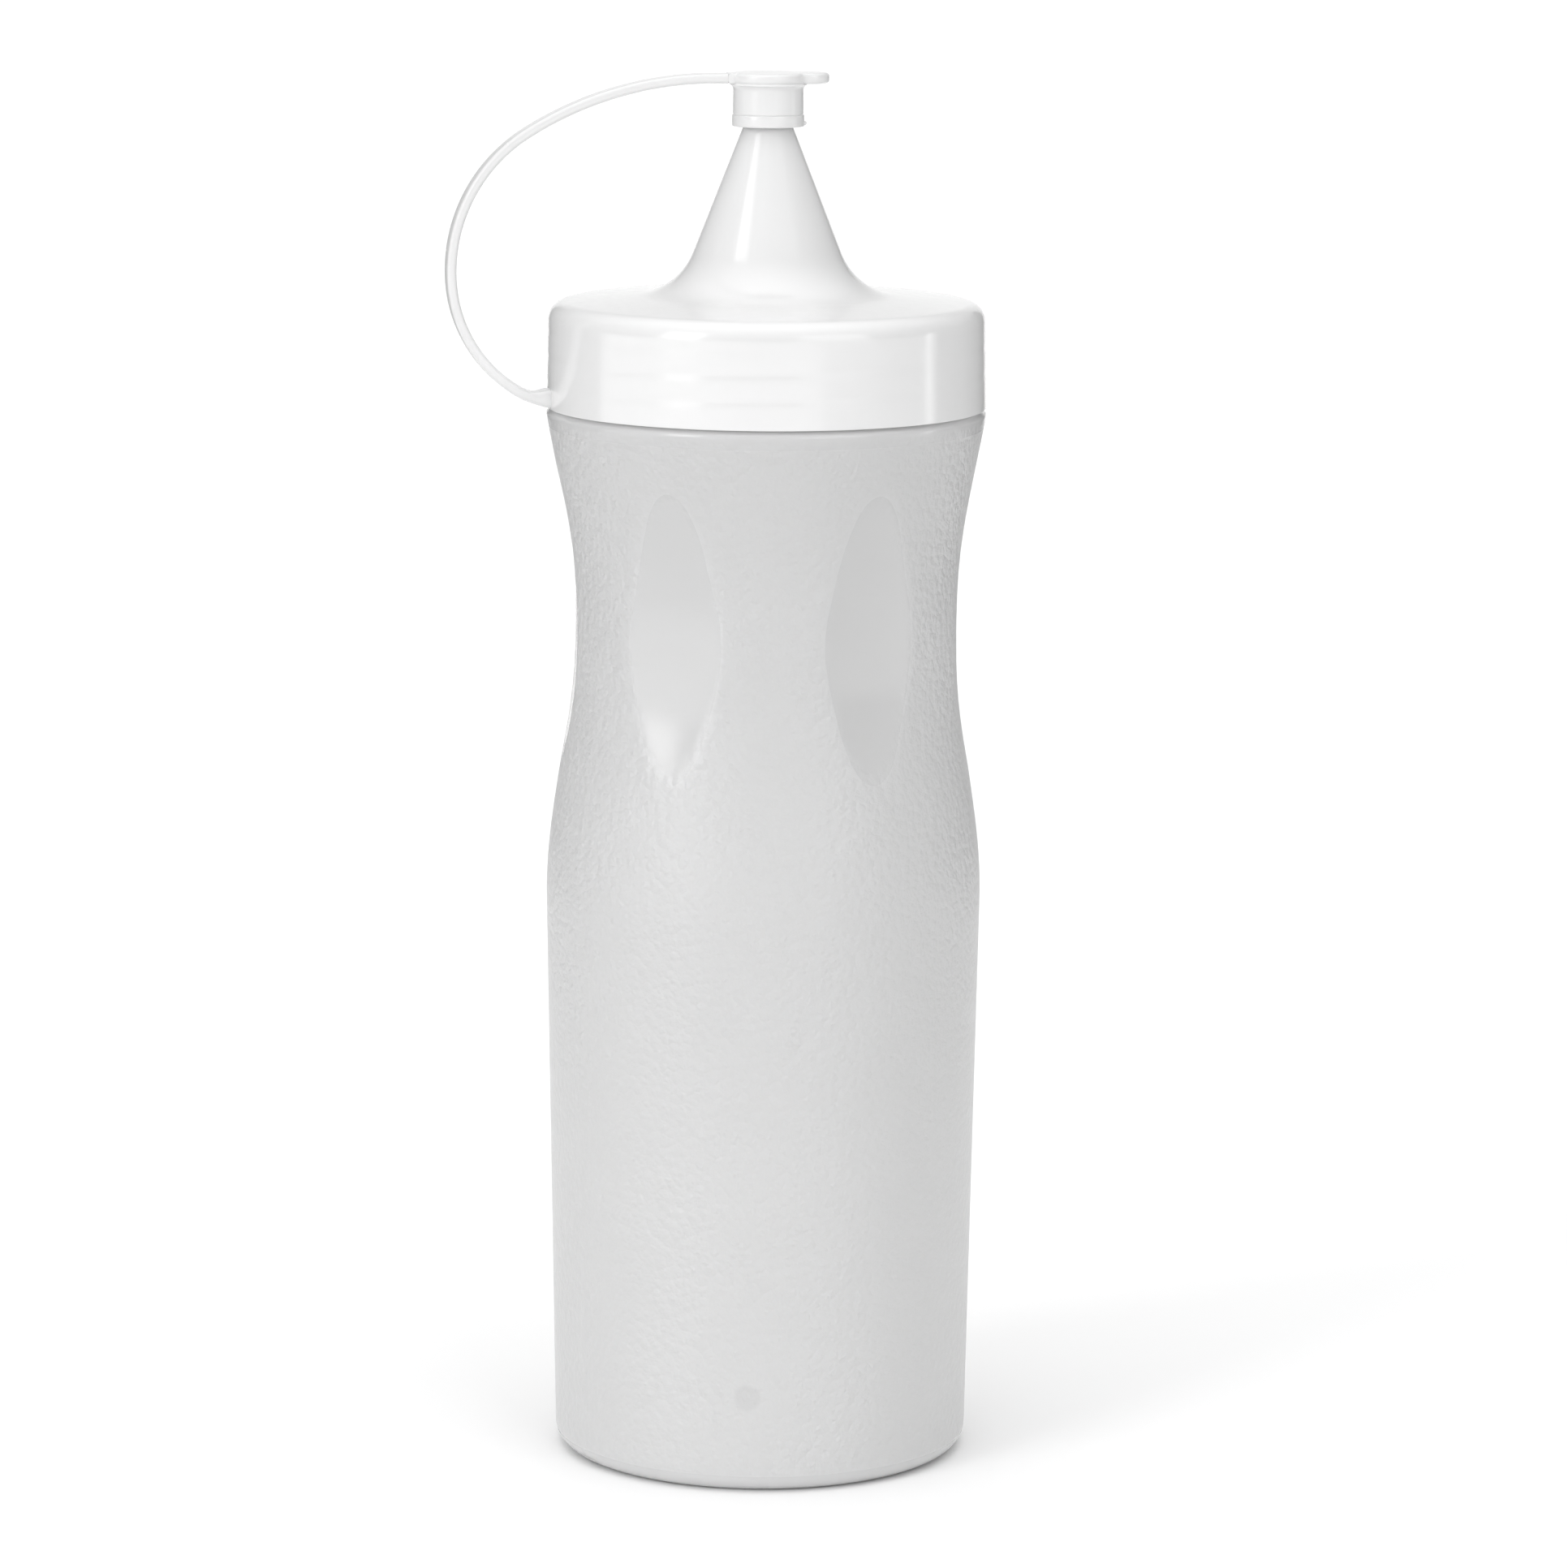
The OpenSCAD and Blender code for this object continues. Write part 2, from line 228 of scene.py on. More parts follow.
def rounded_rectangle(width: float, height: float, radius: float, steps: int) -> list[tuple[float, float]]:
    """Outline of a rectangle with rounded corners.

    Args:
        width: Size along the first axis.
        height: Size along the second axis.
        radius: Radius of the corners.
        steps: Steps in each corner.

    Returns:
        The points, anticlockwise.
    """
    points = []
    for corner in range(4):
        cx = (width / 2 - radius) * (1 if corner in (0, 3) else -1)
        cy = (height / 2 - radius) * (1 if corner in (0, 1) else -1)
        for k in range(steps + 1):
            angle = math.pi / 2 * (corner + k / steps)
            points.append((cx + radius * math.cos(angle), cy + radius * math.sin(angle)))
    return points


def soft_block(size: tuple[float, float, float], centre: tuple[float, float, float], rounding: float) -> Shell:
    """A block with rounded edges.

    Args:
        size: Its three sizes.
        centre: Its middle.
        rounding: Radius of its edges.

    Returns:
        The block.
    """
    work = bmesh.new()
    bmesh.ops.create_cube(work, size=1.0)
    bmesh.ops.scale(work, vec=size, verts=work.verts)
    bmesh.ops.bevel(
        work, geom=work.edges, offset=rounding, segments=4, profile=0.5, affect="EDGES", clamp_overlap=True
    )
    bmesh.ops.translate(work, vec=centre, verts=work.verts)
    work.verts.index_update()
    points = np.array([v.co[:] for v in work.verts])
    faces = [tuple(v.index for v in f.verts) for f in work.faces]
    work.free()
    return Shell(points, faces)


def arc(centre: tuple[float, float], radius: float, start: float, end: float, steps: int) -> Profile:
    """Points of an arc in a profile, from one direction in degrees to another, both ends included."""
    turns = [math.radians(start + (end - start) * k / steps) for k in range(steps + 1)]
    return [(centre[0] + radius * math.cos(t), centre[1] + radius * math.sin(t)) for t in turns]


def line(start: tuple[float, float], end: tuple[float, float], steps: int) -> Profile:
    """Points of a straight line in a profile, both ends included."""
    return [
        (start[0] + (end[0] - start[0]) * k / steps, start[1] + (end[1] - start[1]) * k / steps)
        for k in range(steps + 1)
    ]


def tidy_profile(profile: Profile) -> Profile:
    """Drops points that repeat the one before.

    Args:
        profile: Points of a profile.

    Returns:
        The profile with no point twice in a row.
    """
    kept = [profile[0]]
    for point in profile[1:]:
        if math.dist(point, kept[-1]) > POLE:
            kept.append(point)
    return kept


# --- Node trees -----------------------------------------------------------------------------------


class NodeTree:
    """A node tree, filled in by sums of its sockets."""

    def __init__(self, tree: bpy.types.NodeTree) -> None:
        """Keeps the tree to fill in."""
        self.tree = tree

    def node(self, kind: str, settings: Optional[dict] = None, **inputs: object) -> bpy.types.Node:
        """Adds a node.

        Args:
            kind: Blender's name of the node.
            settings: Properties of the node.
            **inputs: Values or sockets for its inputs. An underscore stands for a space.

        Returns:
            The node.
        """
        made = self.tree.nodes.new(kind)
        for key, value in (settings or {}).items():
            setattr(made, key, value)
        for key, value in inputs.items():
            self.feed(made.inputs[key.replace("_", " ")], value)
        return made

    def feed(self, socket: bpy.types.NodeSocket, value: object) -> None:
        """Links a socket to an input, or sets its value."""
        if isinstance(value, bpy.types.NodeSocket):
            self.tree.links.new(value, socket)
        else:
            socket.default_value = value

    def combine(self, kind: str, operation: str, values: Sequence[object]) -> bpy.types.Node:
        """Adds a node that takes its inputs in order."""
        made = self.node(kind, {"operation": operation})
        for socket, value in zip(made.inputs, values):
            self.feed(socket, value)
        return made

    def math(self, operation: str, *values: object) -> bpy.types.NodeSocket:
        """A sum of numbers or sockets."""
        return self.combine("ShaderNodeMath", operation, values).outputs[0]

    def vector(self, operation: str, *values: object) -> bpy.types.NodeSocket:
        """A sum of vectors or sockets."""
        return self.combine("ShaderNodeVectorMath", operation, values).outputs["Vector"]

    def measure(self, operation: str, *values: object) -> bpy.types.NodeSocket:
        """A number that two vectors give, such as their distance."""
        return self.combine("ShaderNodeVectorMath", operation, values).outputs["Value"]

    def scaled(self, vector: object, scale: object) -> bpy.types.NodeSocket:
        """A vector times a number."""
        made = self.node("ShaderNodeVectorMath", {"operation": "SCALE"}, Scale=scale)
        self.feed(made.inputs[0], vector)
        return made.outputs["Vector"]


class GeometryTree(NodeTree):
    """A geometry node tree with named inputs."""

    def __init__(self, name: str) -> None:
        """Starts an empty tree.

        Args:
            name: Name of the tree.
        """
        super().__init__(bpy.data.node_groups.new(name, "GeometryNodeTree"))
        self.tree.is_modifier = True
        self.tree.interface.new_socket(name="Geometry", in_out="INPUT", socket_type="NodeSocketGeometry")
        self.tree.interface.new_socket(name="Geometry", in_out="OUTPUT", socket_type="NodeSocketGeometry")
        self.entry = self.tree.nodes.new("NodeGroupInput")
        self.exit = self.tree.nodes.new("NodeGroupOutput")

    def input(self, name: str, kind: str) -> bpy.types.NodeSocket:
        """Adds a named input.

        Args:
            name: Name of the input.
            kind: Kind of the socket, such as Float or Object.

        Returns:
            The socket that gives it inside the tree.
        """
        self.tree.interface.new_socket(name=name, in_out="INPUT", socket_type="NodeSocket" + kind)
        return self.entry.outputs[name]

    def finish(self, geometry: bpy.types.NodeSocket, finish: bpy.types.NodeSocket) -> None:
        """Ends the tree in Realize Instances and Set Material.

        Args:
            geometry: The made geometry.
            finish: Socket of the material.
        """
        real = self.node("GeometryNodeRealizeInstances", Geometry=geometry)
        dressed = self.node("GeometryNodeSetMaterial", Geometry=real.outputs[0], Material=finish)
        self.tree.links.new(dressed.outputs[0], self.exit.inputs[0])

    def run(self, carrier: bpy.types.Object, values: dict[str, object]) -> bpy.types.Object:
        """Runs the tree on an object and keeps the result as its plain mesh.

        Args:
            carrier: Object whose mesh goes in.
            values: A value for each named input.

        Returns:
            The same object with the made mesh and no modifier.
        """
        modifier = carrier.modifiers.new(self.tree.name, "NODES")
        modifier.node_group = self.tree
        for item in self.tree.interface.items_tree:
            if item.in_out == "INPUT" and item.name in values:
                modifier[item.identifier] = values[item.name]
        graph = bpy.context.evaluated_depsgraph_get()
        made = bpy.data.meshes.new_from_object(
            carrier.evaluated_get(graph), preserve_all_data_layers=True, depsgraph=graph
        )
        carrier.modifiers.clear()
        carrier.data = made
        face_outwards(made)
        return carrier


def flute_tree() -> GeometryTree:
    """Presses evenly spaced hollows into a round body, as a large round tool would.

    Each point moves towards the axis until it lies on the tool's surface. The value "grain" loses
    what the tool smooths. A point's "inset" is how far it lies inside the outer face.

    Returns:
        The tree.
    """
    t = GeometryTree("press_finger_flutes")
    count = t.input("Flute count", "Int")
    first = t.input("First direction", "Float")
    floor_r = t.input("Radius at the deepest point", "Float")
    tool_r = t.input("Tool radius", "Float")
    middle = t.input("Middle height", "Float")
    edge = t.input("Edge rounding", "Float")
    finish = t.input("Finish", "Material")
    inset = t.node("GeometryNodeInputNamedAttribute", {"data_type": "FLOAT"}, Name="inset").outputs[0]
    grain = t.node("GeometryNodeInputNamedAttribute", {"data_type": "FLOAT"}, Name="grain").outputs[0]
    place = t.node("GeometryNodeInputPosition").outputs[0]
    split = t.node("ShaderNodeSeparateXYZ", Vector=place)
    x, y, z = split.outputs
    radius = t.math("SQRT", t.math("ADD", t.math("MULTIPLY", x, x), t.math("MULTIPLY", y, y)))
    half = t.math("DIVIDE", math.pi, count)
    turn = t.math("WRAP", t.math("SUBTRACT", t.math("ARCTAN2", y, x), first), half, t.math("MULTIPLY", half, -1.0))
    centre = t.math("ADD", floor_r, tool_r)
    reach = t.math("ADD", tool_r, inset)
    height = t.math("SUBTRACT", z, middle)
    aside = t.math("MULTIPLY", centre, t.math("SINE", turn))
    left = t.math("SUBTRACT", t.math("MULTIPLY", reach, reach), t.math("MULTIPLY", height, height))
    left = t.math("MAXIMUM", t.math("SUBTRACT", left, t.math("MULTIPLY", aside, aside)), 0.0)
    tool = t.math("SUBTRACT", t.math("MULTIPLY", centre, t.math("COSINE", turn)), t.math("SQRT", left))
    pressed = t.math("SMOOTH_MIN", radius, tool, edge)
    pressed = t.math("MINIMUM", pressed, radius)
    ratio = t.math("DIVIDE", pressed, t.math("MAXIMUM", radius, POLE))
    moved = t.node("ShaderNodeCombineXYZ", X=t.math("MULTIPLY", x, ratio), Y=t.math("MULTIPLY", y, ratio), Z=z)
    smooth = t.node(
        "ShaderNodeMapRange",
        {"interpolation_type": "SMOOTHSTEP"},
        Value=t.math("SUBTRACT", radius, tool),
        From_Min=GRAIN_FADE[0],
        From_Max=GRAIN_FADE[1],
        To_Min=1.0,
        To_Max=0.0,
    )
    kept = t.node(
        "GeometryNodeStoreNamedAttribute",
        {"data_type": "FLOAT", "domain": "POINT"},
        Geometry=t.entry.outputs["Geometry"],
        Name="grain",
        Value=t.math("MULTIPLY", grain, smooth.outputs[0]),
    )
    bent = t.node("GeometryNodeSetPosition", Geometry=kept.outputs[0], Position=moved.outputs[0])
    t.finish(bent.outputs[0], finish)
    return t


def lay_tree() -> GeometryTree:
    """Lays a straight bar along a path, such as a strap along its bend or a thread along its helix.

    A point's x is its length along the path, y its place across, and z its height above the path.

    Returns:
        The tree.
    """
    t = GeometryTree("lay_along_path")
    path = t.input("Path", "Object")
    across = t.input("Direction across", "Vector")
    fade = t.input("Fade at the ends", "Float")
    buried = t.input("Height at a faded end", "Float")
    beside = t.input("Joined to", "Object")
    finish = t.input("Finish", "Material")
    wire = t.node("GeometryNodeObjectInfo", {"transform_space": "ORIGINAL"}, Object=path)
    curve = t.node("GeometryNodeMeshToCurve", Mesh=wire.outputs["Geometry"]).outputs[0]
    length = t.node("GeometryNodeCurveLength", Curve=curve).outputs[0]
    split = t.node("ShaderNodeSeparateXYZ", Vector=t.node("GeometryNodeInputPosition").outputs[0])
    run, side, height = split.outputs
    sample = t.node("GeometryNodeSampleCurve", {"mode": "LENGTH"}, Curves=curve, Length=run)
    tiny = 1e-6
    near = t.math("MINIMUM", run, t.math("SUBTRACT", length, run))
    near = t.math("ADD", t.math("MAXIMUM", near, 0.0), tiny)
    share = t.math("MINIMUM", t.math("DIVIDE", near, t.math("ADD", fade, tiny)), 1.0)
    height = t.math("ADD", buried, t.math("MULTIPLY", t.math("SUBTRACT", height, buried), share))
    outward = t.vector("NORMALIZE", t.vector("CROSS_PRODUCT", sample.outputs["Tangent"], across))
    offset = t.vector("ADD", t.scaled(across, side), t.scaled(outward, height))
    place = t.vector("ADD", sample.outputs["Position"], offset)
    laid = t.node("GeometryNodeSetPosition", Geometry=t.entry.outputs["Geometry"], Position=place)
    other = t.node("GeometryNodeObjectInfo", {"transform_space": "ORIGINAL"}, Object=beside)
    both = t.node("GeometryNodeJoinGeometry")
    t.tree.links.new(laid.outputs[0], both.inputs[0])
    t.tree.links.new(other.outputs["Geometry"], both.inputs[0])
    t.finish(both.outputs[0], finish)
    return t


@dataclass
class PathLayer:
    """Lays bars along paths with one shared tree."""

    tree: GeometryTree = field(default_factory=lay_tree)

    def lay(
        self,
        piece: Shell,
        name: str,
        path: np.ndarray,
        across: tuple[float, float, float],
        finish: bpy.types.Material,
        fade: float = 0.0,
        buried: float = 0.0,
        beside: Optional[bpy.types.Object] = None,
    ) -> bpy.types.Object:
        """Lays one bar.

        Args:
            piece: The straight bar.
            name: Name of the finished object.
            path: Points of the path.
            across: Direction that the bar's y axis takes.
            finish: Material of the piece.
            fade: Length over which the bar's height fades in and out.
            buried: Height that the bar fades to.
            beside: Object whose mesh is joined to the result and then removed.

        Returns:
            The finished object.
        """
        wire = mesh_object(name + "_path", path.tolist(), [(i, i + 1) for i in range(len(path) - 1)], [])
        values: dict[str, object] = {
            "Path": wire,
            "Direction across": tuple(float(v) for v in across),
            "Fade at the ends": float(fade),
            "Height at a faded end": float(buried),
            "Finish": finish,
        }
        if beside is not None:
            values["Joined to"] = beside
        made = self.tree.run(piece.to_object(name), values)
        bpy.data.objects.remove(wire)
        if beside is not None:
            bpy.data.objects.remove(beside)
        return made


def helix(radius: float, pitch: float, turns: float, start_z: float) -> np.ndarray:
    """Points of a right-handed helix about +Z that starts at +X.

    Args:
        radius: Its radius.
        pitch: Its rise in one turn.
        turns: Its length in turns.
        start_z: Height of its start.

    Returns:
        The points.
    """
    t = np.linspace(0.0, turns, int(turns * 144) + 1)
    turn = 2 * math.pi * t
    return np.stack([radius * np.cos(turn), radius * np.sin(turn), start_z + pitch * t], 1)


def path_length(path: np.ndarray) -> float:
    """Length of a path through its points."""
    return float(np.linalg.norm(np.diff(path, axis=0), axis=1).sum())


# --- Finishes -------------------------------------------------------------------------------------


class NodeSheet(NodeTree):
    """A material's node tree, filled in from its shader backwards."""

    def __init__(self, name: str) -> None:
        """Starts a material with one plain shader.

        Args:
            name: Name of the material.
        """
        self.material = bpy.data.materials.new(name)
        self.material.use_nodes = True
        super().__init__(self.material.node_tree)
        self.shader = self.tree.nodes["Principled BSDF"]
        self.place = self.node("ShaderNodeTexCoord").outputs["Object"]

    def stretched(self, scale: tuple[float, float, float]) -> bpy.types.NodeSocket:
        """The piece's own coordinates, scaled along each axis."""
        return self.node("ShaderNodeMapping", Vector=self.place, Scale=scale).outputs[0]

    def noise(self, scale: float, detail: float, place: Optional[object] = None) -> bpy.types.NodeSocket:
        """A soft noise of so many cells a metre, over the given coordinates or the piece's own."""
        where = self.place if place is None else place
        return self.node("ShaderNodeTexNoise", Vector=where, Scale=scale, Detail=detail).outputs[0]

    def between(self, share: object, low: float, high: float) -> bpy.types.NodeSocket:
        """A number that goes from low to high as share goes from 0 to 1."""
        made = self.node("ShaderNodeMapRange", Value=share, To_Min=low, To_Max=high)
        return made.outputs[0]

    def tint(self, share: object, low: Sequence[float], high: Sequence[float]) -> bpy.types.NodeSocket:
        """A colour that goes from low to high as share goes from 0 to 1."""
        mix = self.node("ShaderNodeMix", {"data_type": "RGBA"})
        self.feed(mix.inputs["Factor"], share)
        colours = [s for s in mix.inputs if s.type == "RGBA"]
        for socket, colour in zip(colours, (low, high)):
            self.feed(socket, colour if isinstance(colour, bpy.types.NodeSocket) else (*colour, 1.0))
        return next(s for s in mix.outputs if s.type == "RGBA")

    def bump(self, height: object, distance: float, below: Optional[object] = None) -> bpy.types.NodeSocket:
        """Adds a bump.

        Args:
            height: Socket of its height, from 0 to 1.
            distance: Height in metres of a full step.
            below: Normal to add it to.

        Returns:
            Socket of the normal.
        """
        made = self.node("ShaderNodeBump", Height=height, Distance=distance, Strength=1.0)
        if below is not None:
            self.feed(made.inputs["Normal"], below)
        return made.outputs[0]

    def set(self, **inputs: object) -> None:
        """Sets or links inputs of the shader. An underscore stands for a space."""
        for key, value in inputs.items():
            self.feed(self.shader.inputs[key.replace("_", " ")], value)


@dataclass(frozen=True)
class FrostedPolyethylene:
    """Natural polyethylene: milky, painted lighter towards the bottom as a stand-in for floor light, with a pebble
    grain outside that fades where "grain" is 0.
    """

    # Body colours: the lighter one comes low down as painted light from the floor, and also at random from a soft
    # cloud.
    plain_tone: tuple[float, float, float] = (0.535, 0.535, 0.537)
    lighter_tone: tuple[float, float, float] = (0.615, 0.615, 0.617)
    pebble_cells: float = 620.0
    pebble_drift: float = 0.7 * MM
    pebble_height: float = 0.3 * MM
    grained_roughness: float = 0.36
    smooth_roughness: float = 0.13
    scatter: float = 0.45
    vent_place: tuple[float, float, float] = (-9.5 * MM, -39.7 * MM, 19.2 * MM)
    vent_radius: float = 2.6 * MM
    vent_strength: float = 0.2
    vent_shade: float = 0.8
    # Painted light: heights between which the body turns lighter towards the bottom, standing in for floor light
    # through the plastic.
    painted_glow_full_below: float = 60 * MM
    painted_glow_none_above: float = 200 * MM

    def material(self) -> bpy.types.Material:
        """Makes the material.

        Returns:
            The material.
        """
        s = NodeSheet("frosted_polyethylene")
        grain = s.node("ShaderNodeAttribute", {"attribute_name": "grain"}).outputs["Fac"]
        drift = s.node("ShaderNodeTexNoise", Vector=s.place, Scale=700.0, Detail=1.0).outputs[1]
        pebble = s.node(
            "ShaderNodeTexVoronoi",
            {"feature": "SMOOTH_F1"},
            Vector=s.vector("ADD", s.place, s.scaled(drift, self.pebble_drift)),
            Scale=self.pebble_cells,
            Smoothness=0.35,
        ).outputs["Distance"]
        fine = s.noise(1500.0, 3.0)
        relief = s.math("ADD", s.math("MULTIPLY", pebble, -0.8), s.math("MULTIPLY", fine, 0.5))
        patch = s.between(s.noise(34.0, 2.0), 0.55, 1.15)
        relief = s.math("MULTIPLY", s.math("MULTIPLY", relief, grain), patch)
        waves = s.bump(s.noise(60.0, 2.0, s.stretched((1.0, 1.0, 0.35))), 0.12 * MM)
        cloud = s.noise(16.0, 3.0)
        # Painted light: the colour turns lighter towards the bottom, standing in for floor light seen through the
        # plastic; a soft random cloud is mixed in.
        height = s.node("ShaderNodeSeparateXYZ", Vector=s.place).outputs["Z"]
        span = {"From_Min": self.painted_glow_none_above, "From_Max": self.painted_glow_full_below}
        share = s.node("ShaderNodeMapRange", Value=height, **span).outputs[0]
        share = s.math("ADD", s.math("MULTIPLY", share, 0.6), s.math("MULTIPLY", cloud, 0.5))
        colour = s.tint(share, self.plain_tone, self.lighter_tone)
        spot = s.math("MULTIPLY", self.vent_spot(s), self.vent_strength)
        colour = s.tint(spot, colour, tuple(self.vent_shade * c for c in self.plain_tone))
        rough = s.between(grain, self.smooth_roughness, self.grained_roughness)
        rough = s.math("ADD", rough, s.between(s.noise(90.0, 2.0), -0.04, 0.04))
        s.set(
            Base_Color=colour,
            Roughness=rough,
            Normal=s.bump(relief, self.pebble_height, waves),
            IOR=1.52,
            Subsurface_Weight=self.scatter,
            Subsurface_Radius=(0.9, 0.9, 0.95),
            Subsurface_Scale=3.0 * MM,
        )
        return s.material

    def vent_spot(self, s: NodeSheet) -> bpy.types.NodeSocket:
        """The small round mark that the mould's vent leaves low on the body.

        Args:
            s: Sheet to add its nodes to.

        Returns:
            Socket that is 1 on the mark and 0 off it.
        """
        span = s.node(
            "ShaderNodeMapRange",
            {"interpolation_type": "SMOOTHSTEP"},
            Value=s.measure("DISTANCE", s.place, self.vent_place),
            From_Min=0.75 * self.vent_radius,
            From_Max=1.15 * self.vent_radius,
            To_Min=1.0,
            To_Max=0.0,
        )
        return span.outputs[0]


@dataclass(frozen=True)
class GlossMoulding:
    """Glossy white moulded plastic with faint flow lines and moulding waves."""

    name: str
    roughness: float = 0.14
    shaded: tuple[float, float, float] = (0.70, 0.70, 0.702)
    clear: tuple[float, float, float] = (0.75, 0.75, 0.75)
    flow: tuple[float, float, float] = (1.0, 1.0, 0.12)
    wave_cells: float = 130.0
    wave_height: float = 0.05 * MM

    def material(self) -> bpy.types.Material:
        """Makes the material.

        Returns:
            The material.
        """
        s = NodeSheet(self.name)
        along = s.stretched(self.flow)
        colour = s.tint(s.noise(45.0, 3.0, along), self.shaded, self.clear)
        waves = s.bump(s.noise(self.wave_cells, 2.0, along), self.wave_height)
        skin = s.bump(s.noise(2600.0, 2.0), 0.004 * MM, waves)
        scuff = s.noise(420.0, 4.0, s.stretched((1.0, 0.3, 1.0)))
        rough = s.math("ADD", self.roughness, s.between(scuff, -0.05, 0.07))
        s.set(
            Base_Color=colour,
            Roughness=rough,
            Normal=skin,
            IOR=1.5,
            Coat_Weight=0.15,
            Coat_Roughness=0.12,
        )
        return s.material


@dataclass(frozen=True)
class SealFoam:
    """Soft matt liner with fine closed cells."""

    low: tuple[float, float, float] = (0.74, 0.74, 0.72)
    high: tuple[float, float, float] = (0.83, 0.83, 0.81)

    def material(self) -> bpy.types.Material:
        """Makes the material.

        Returns:
            The material.
        """
        s = NodeSheet("seal_foam")
        cells = s.node("ShaderNodeTexVoronoi", Vector=s.place, Scale=2400.0).outputs["Distance"]
        s.set(
            Base_Color=s.tint(s.noise(300.0, 3.0), self.low, self.high),
            Roughness=s.between(s.noise(500.0, 2.0), 0.62, 0.82),
            Normal=s.bump(cells, 0.03 * MM),
            Sheen_Weight=0.1,
        )
        return s.material


@dataclass(frozen=True)
class PaleFloor:
    """Plain matt white paper."""

    def material(self) -> bpy.types.Material:
        """Makes the material.

        Returns:
            The material.
        """
        s = NodeSheet("pale_floor")
        s.set(
            Base_Color=s.tint(s.noise(3.0, 2.0), (0.93, 0.93, 0.93), (0.94, 0.94, 0.94)),
            Roughness=0.9,
            Specular_IOR_Level=0.1,
        )
        return s.material


# --- Sub-assemblies -------------------------------------------------------------------------------


def settle(
    piece: bpy.types.Object, body: str, nodes: Sequence[str], crease: float
) -> bpy.types.Object:
    """Gives a finished piece its place on a body.

    Args:
        piece: The piece, in place.
        body: CAD body that it rides on.
        nodes: CAD nodes that it stands for.
        crease: Angle in degrees past which an edge stays sharp.

    Returns:
        The piece.
    """
    soften(piece.data, crease)
    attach(piece, body)
    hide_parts(*nodes)
    LOG.info("%s: %d faces, rides on %s", piece.name, len(piece.data.polygons), body)
    return piece


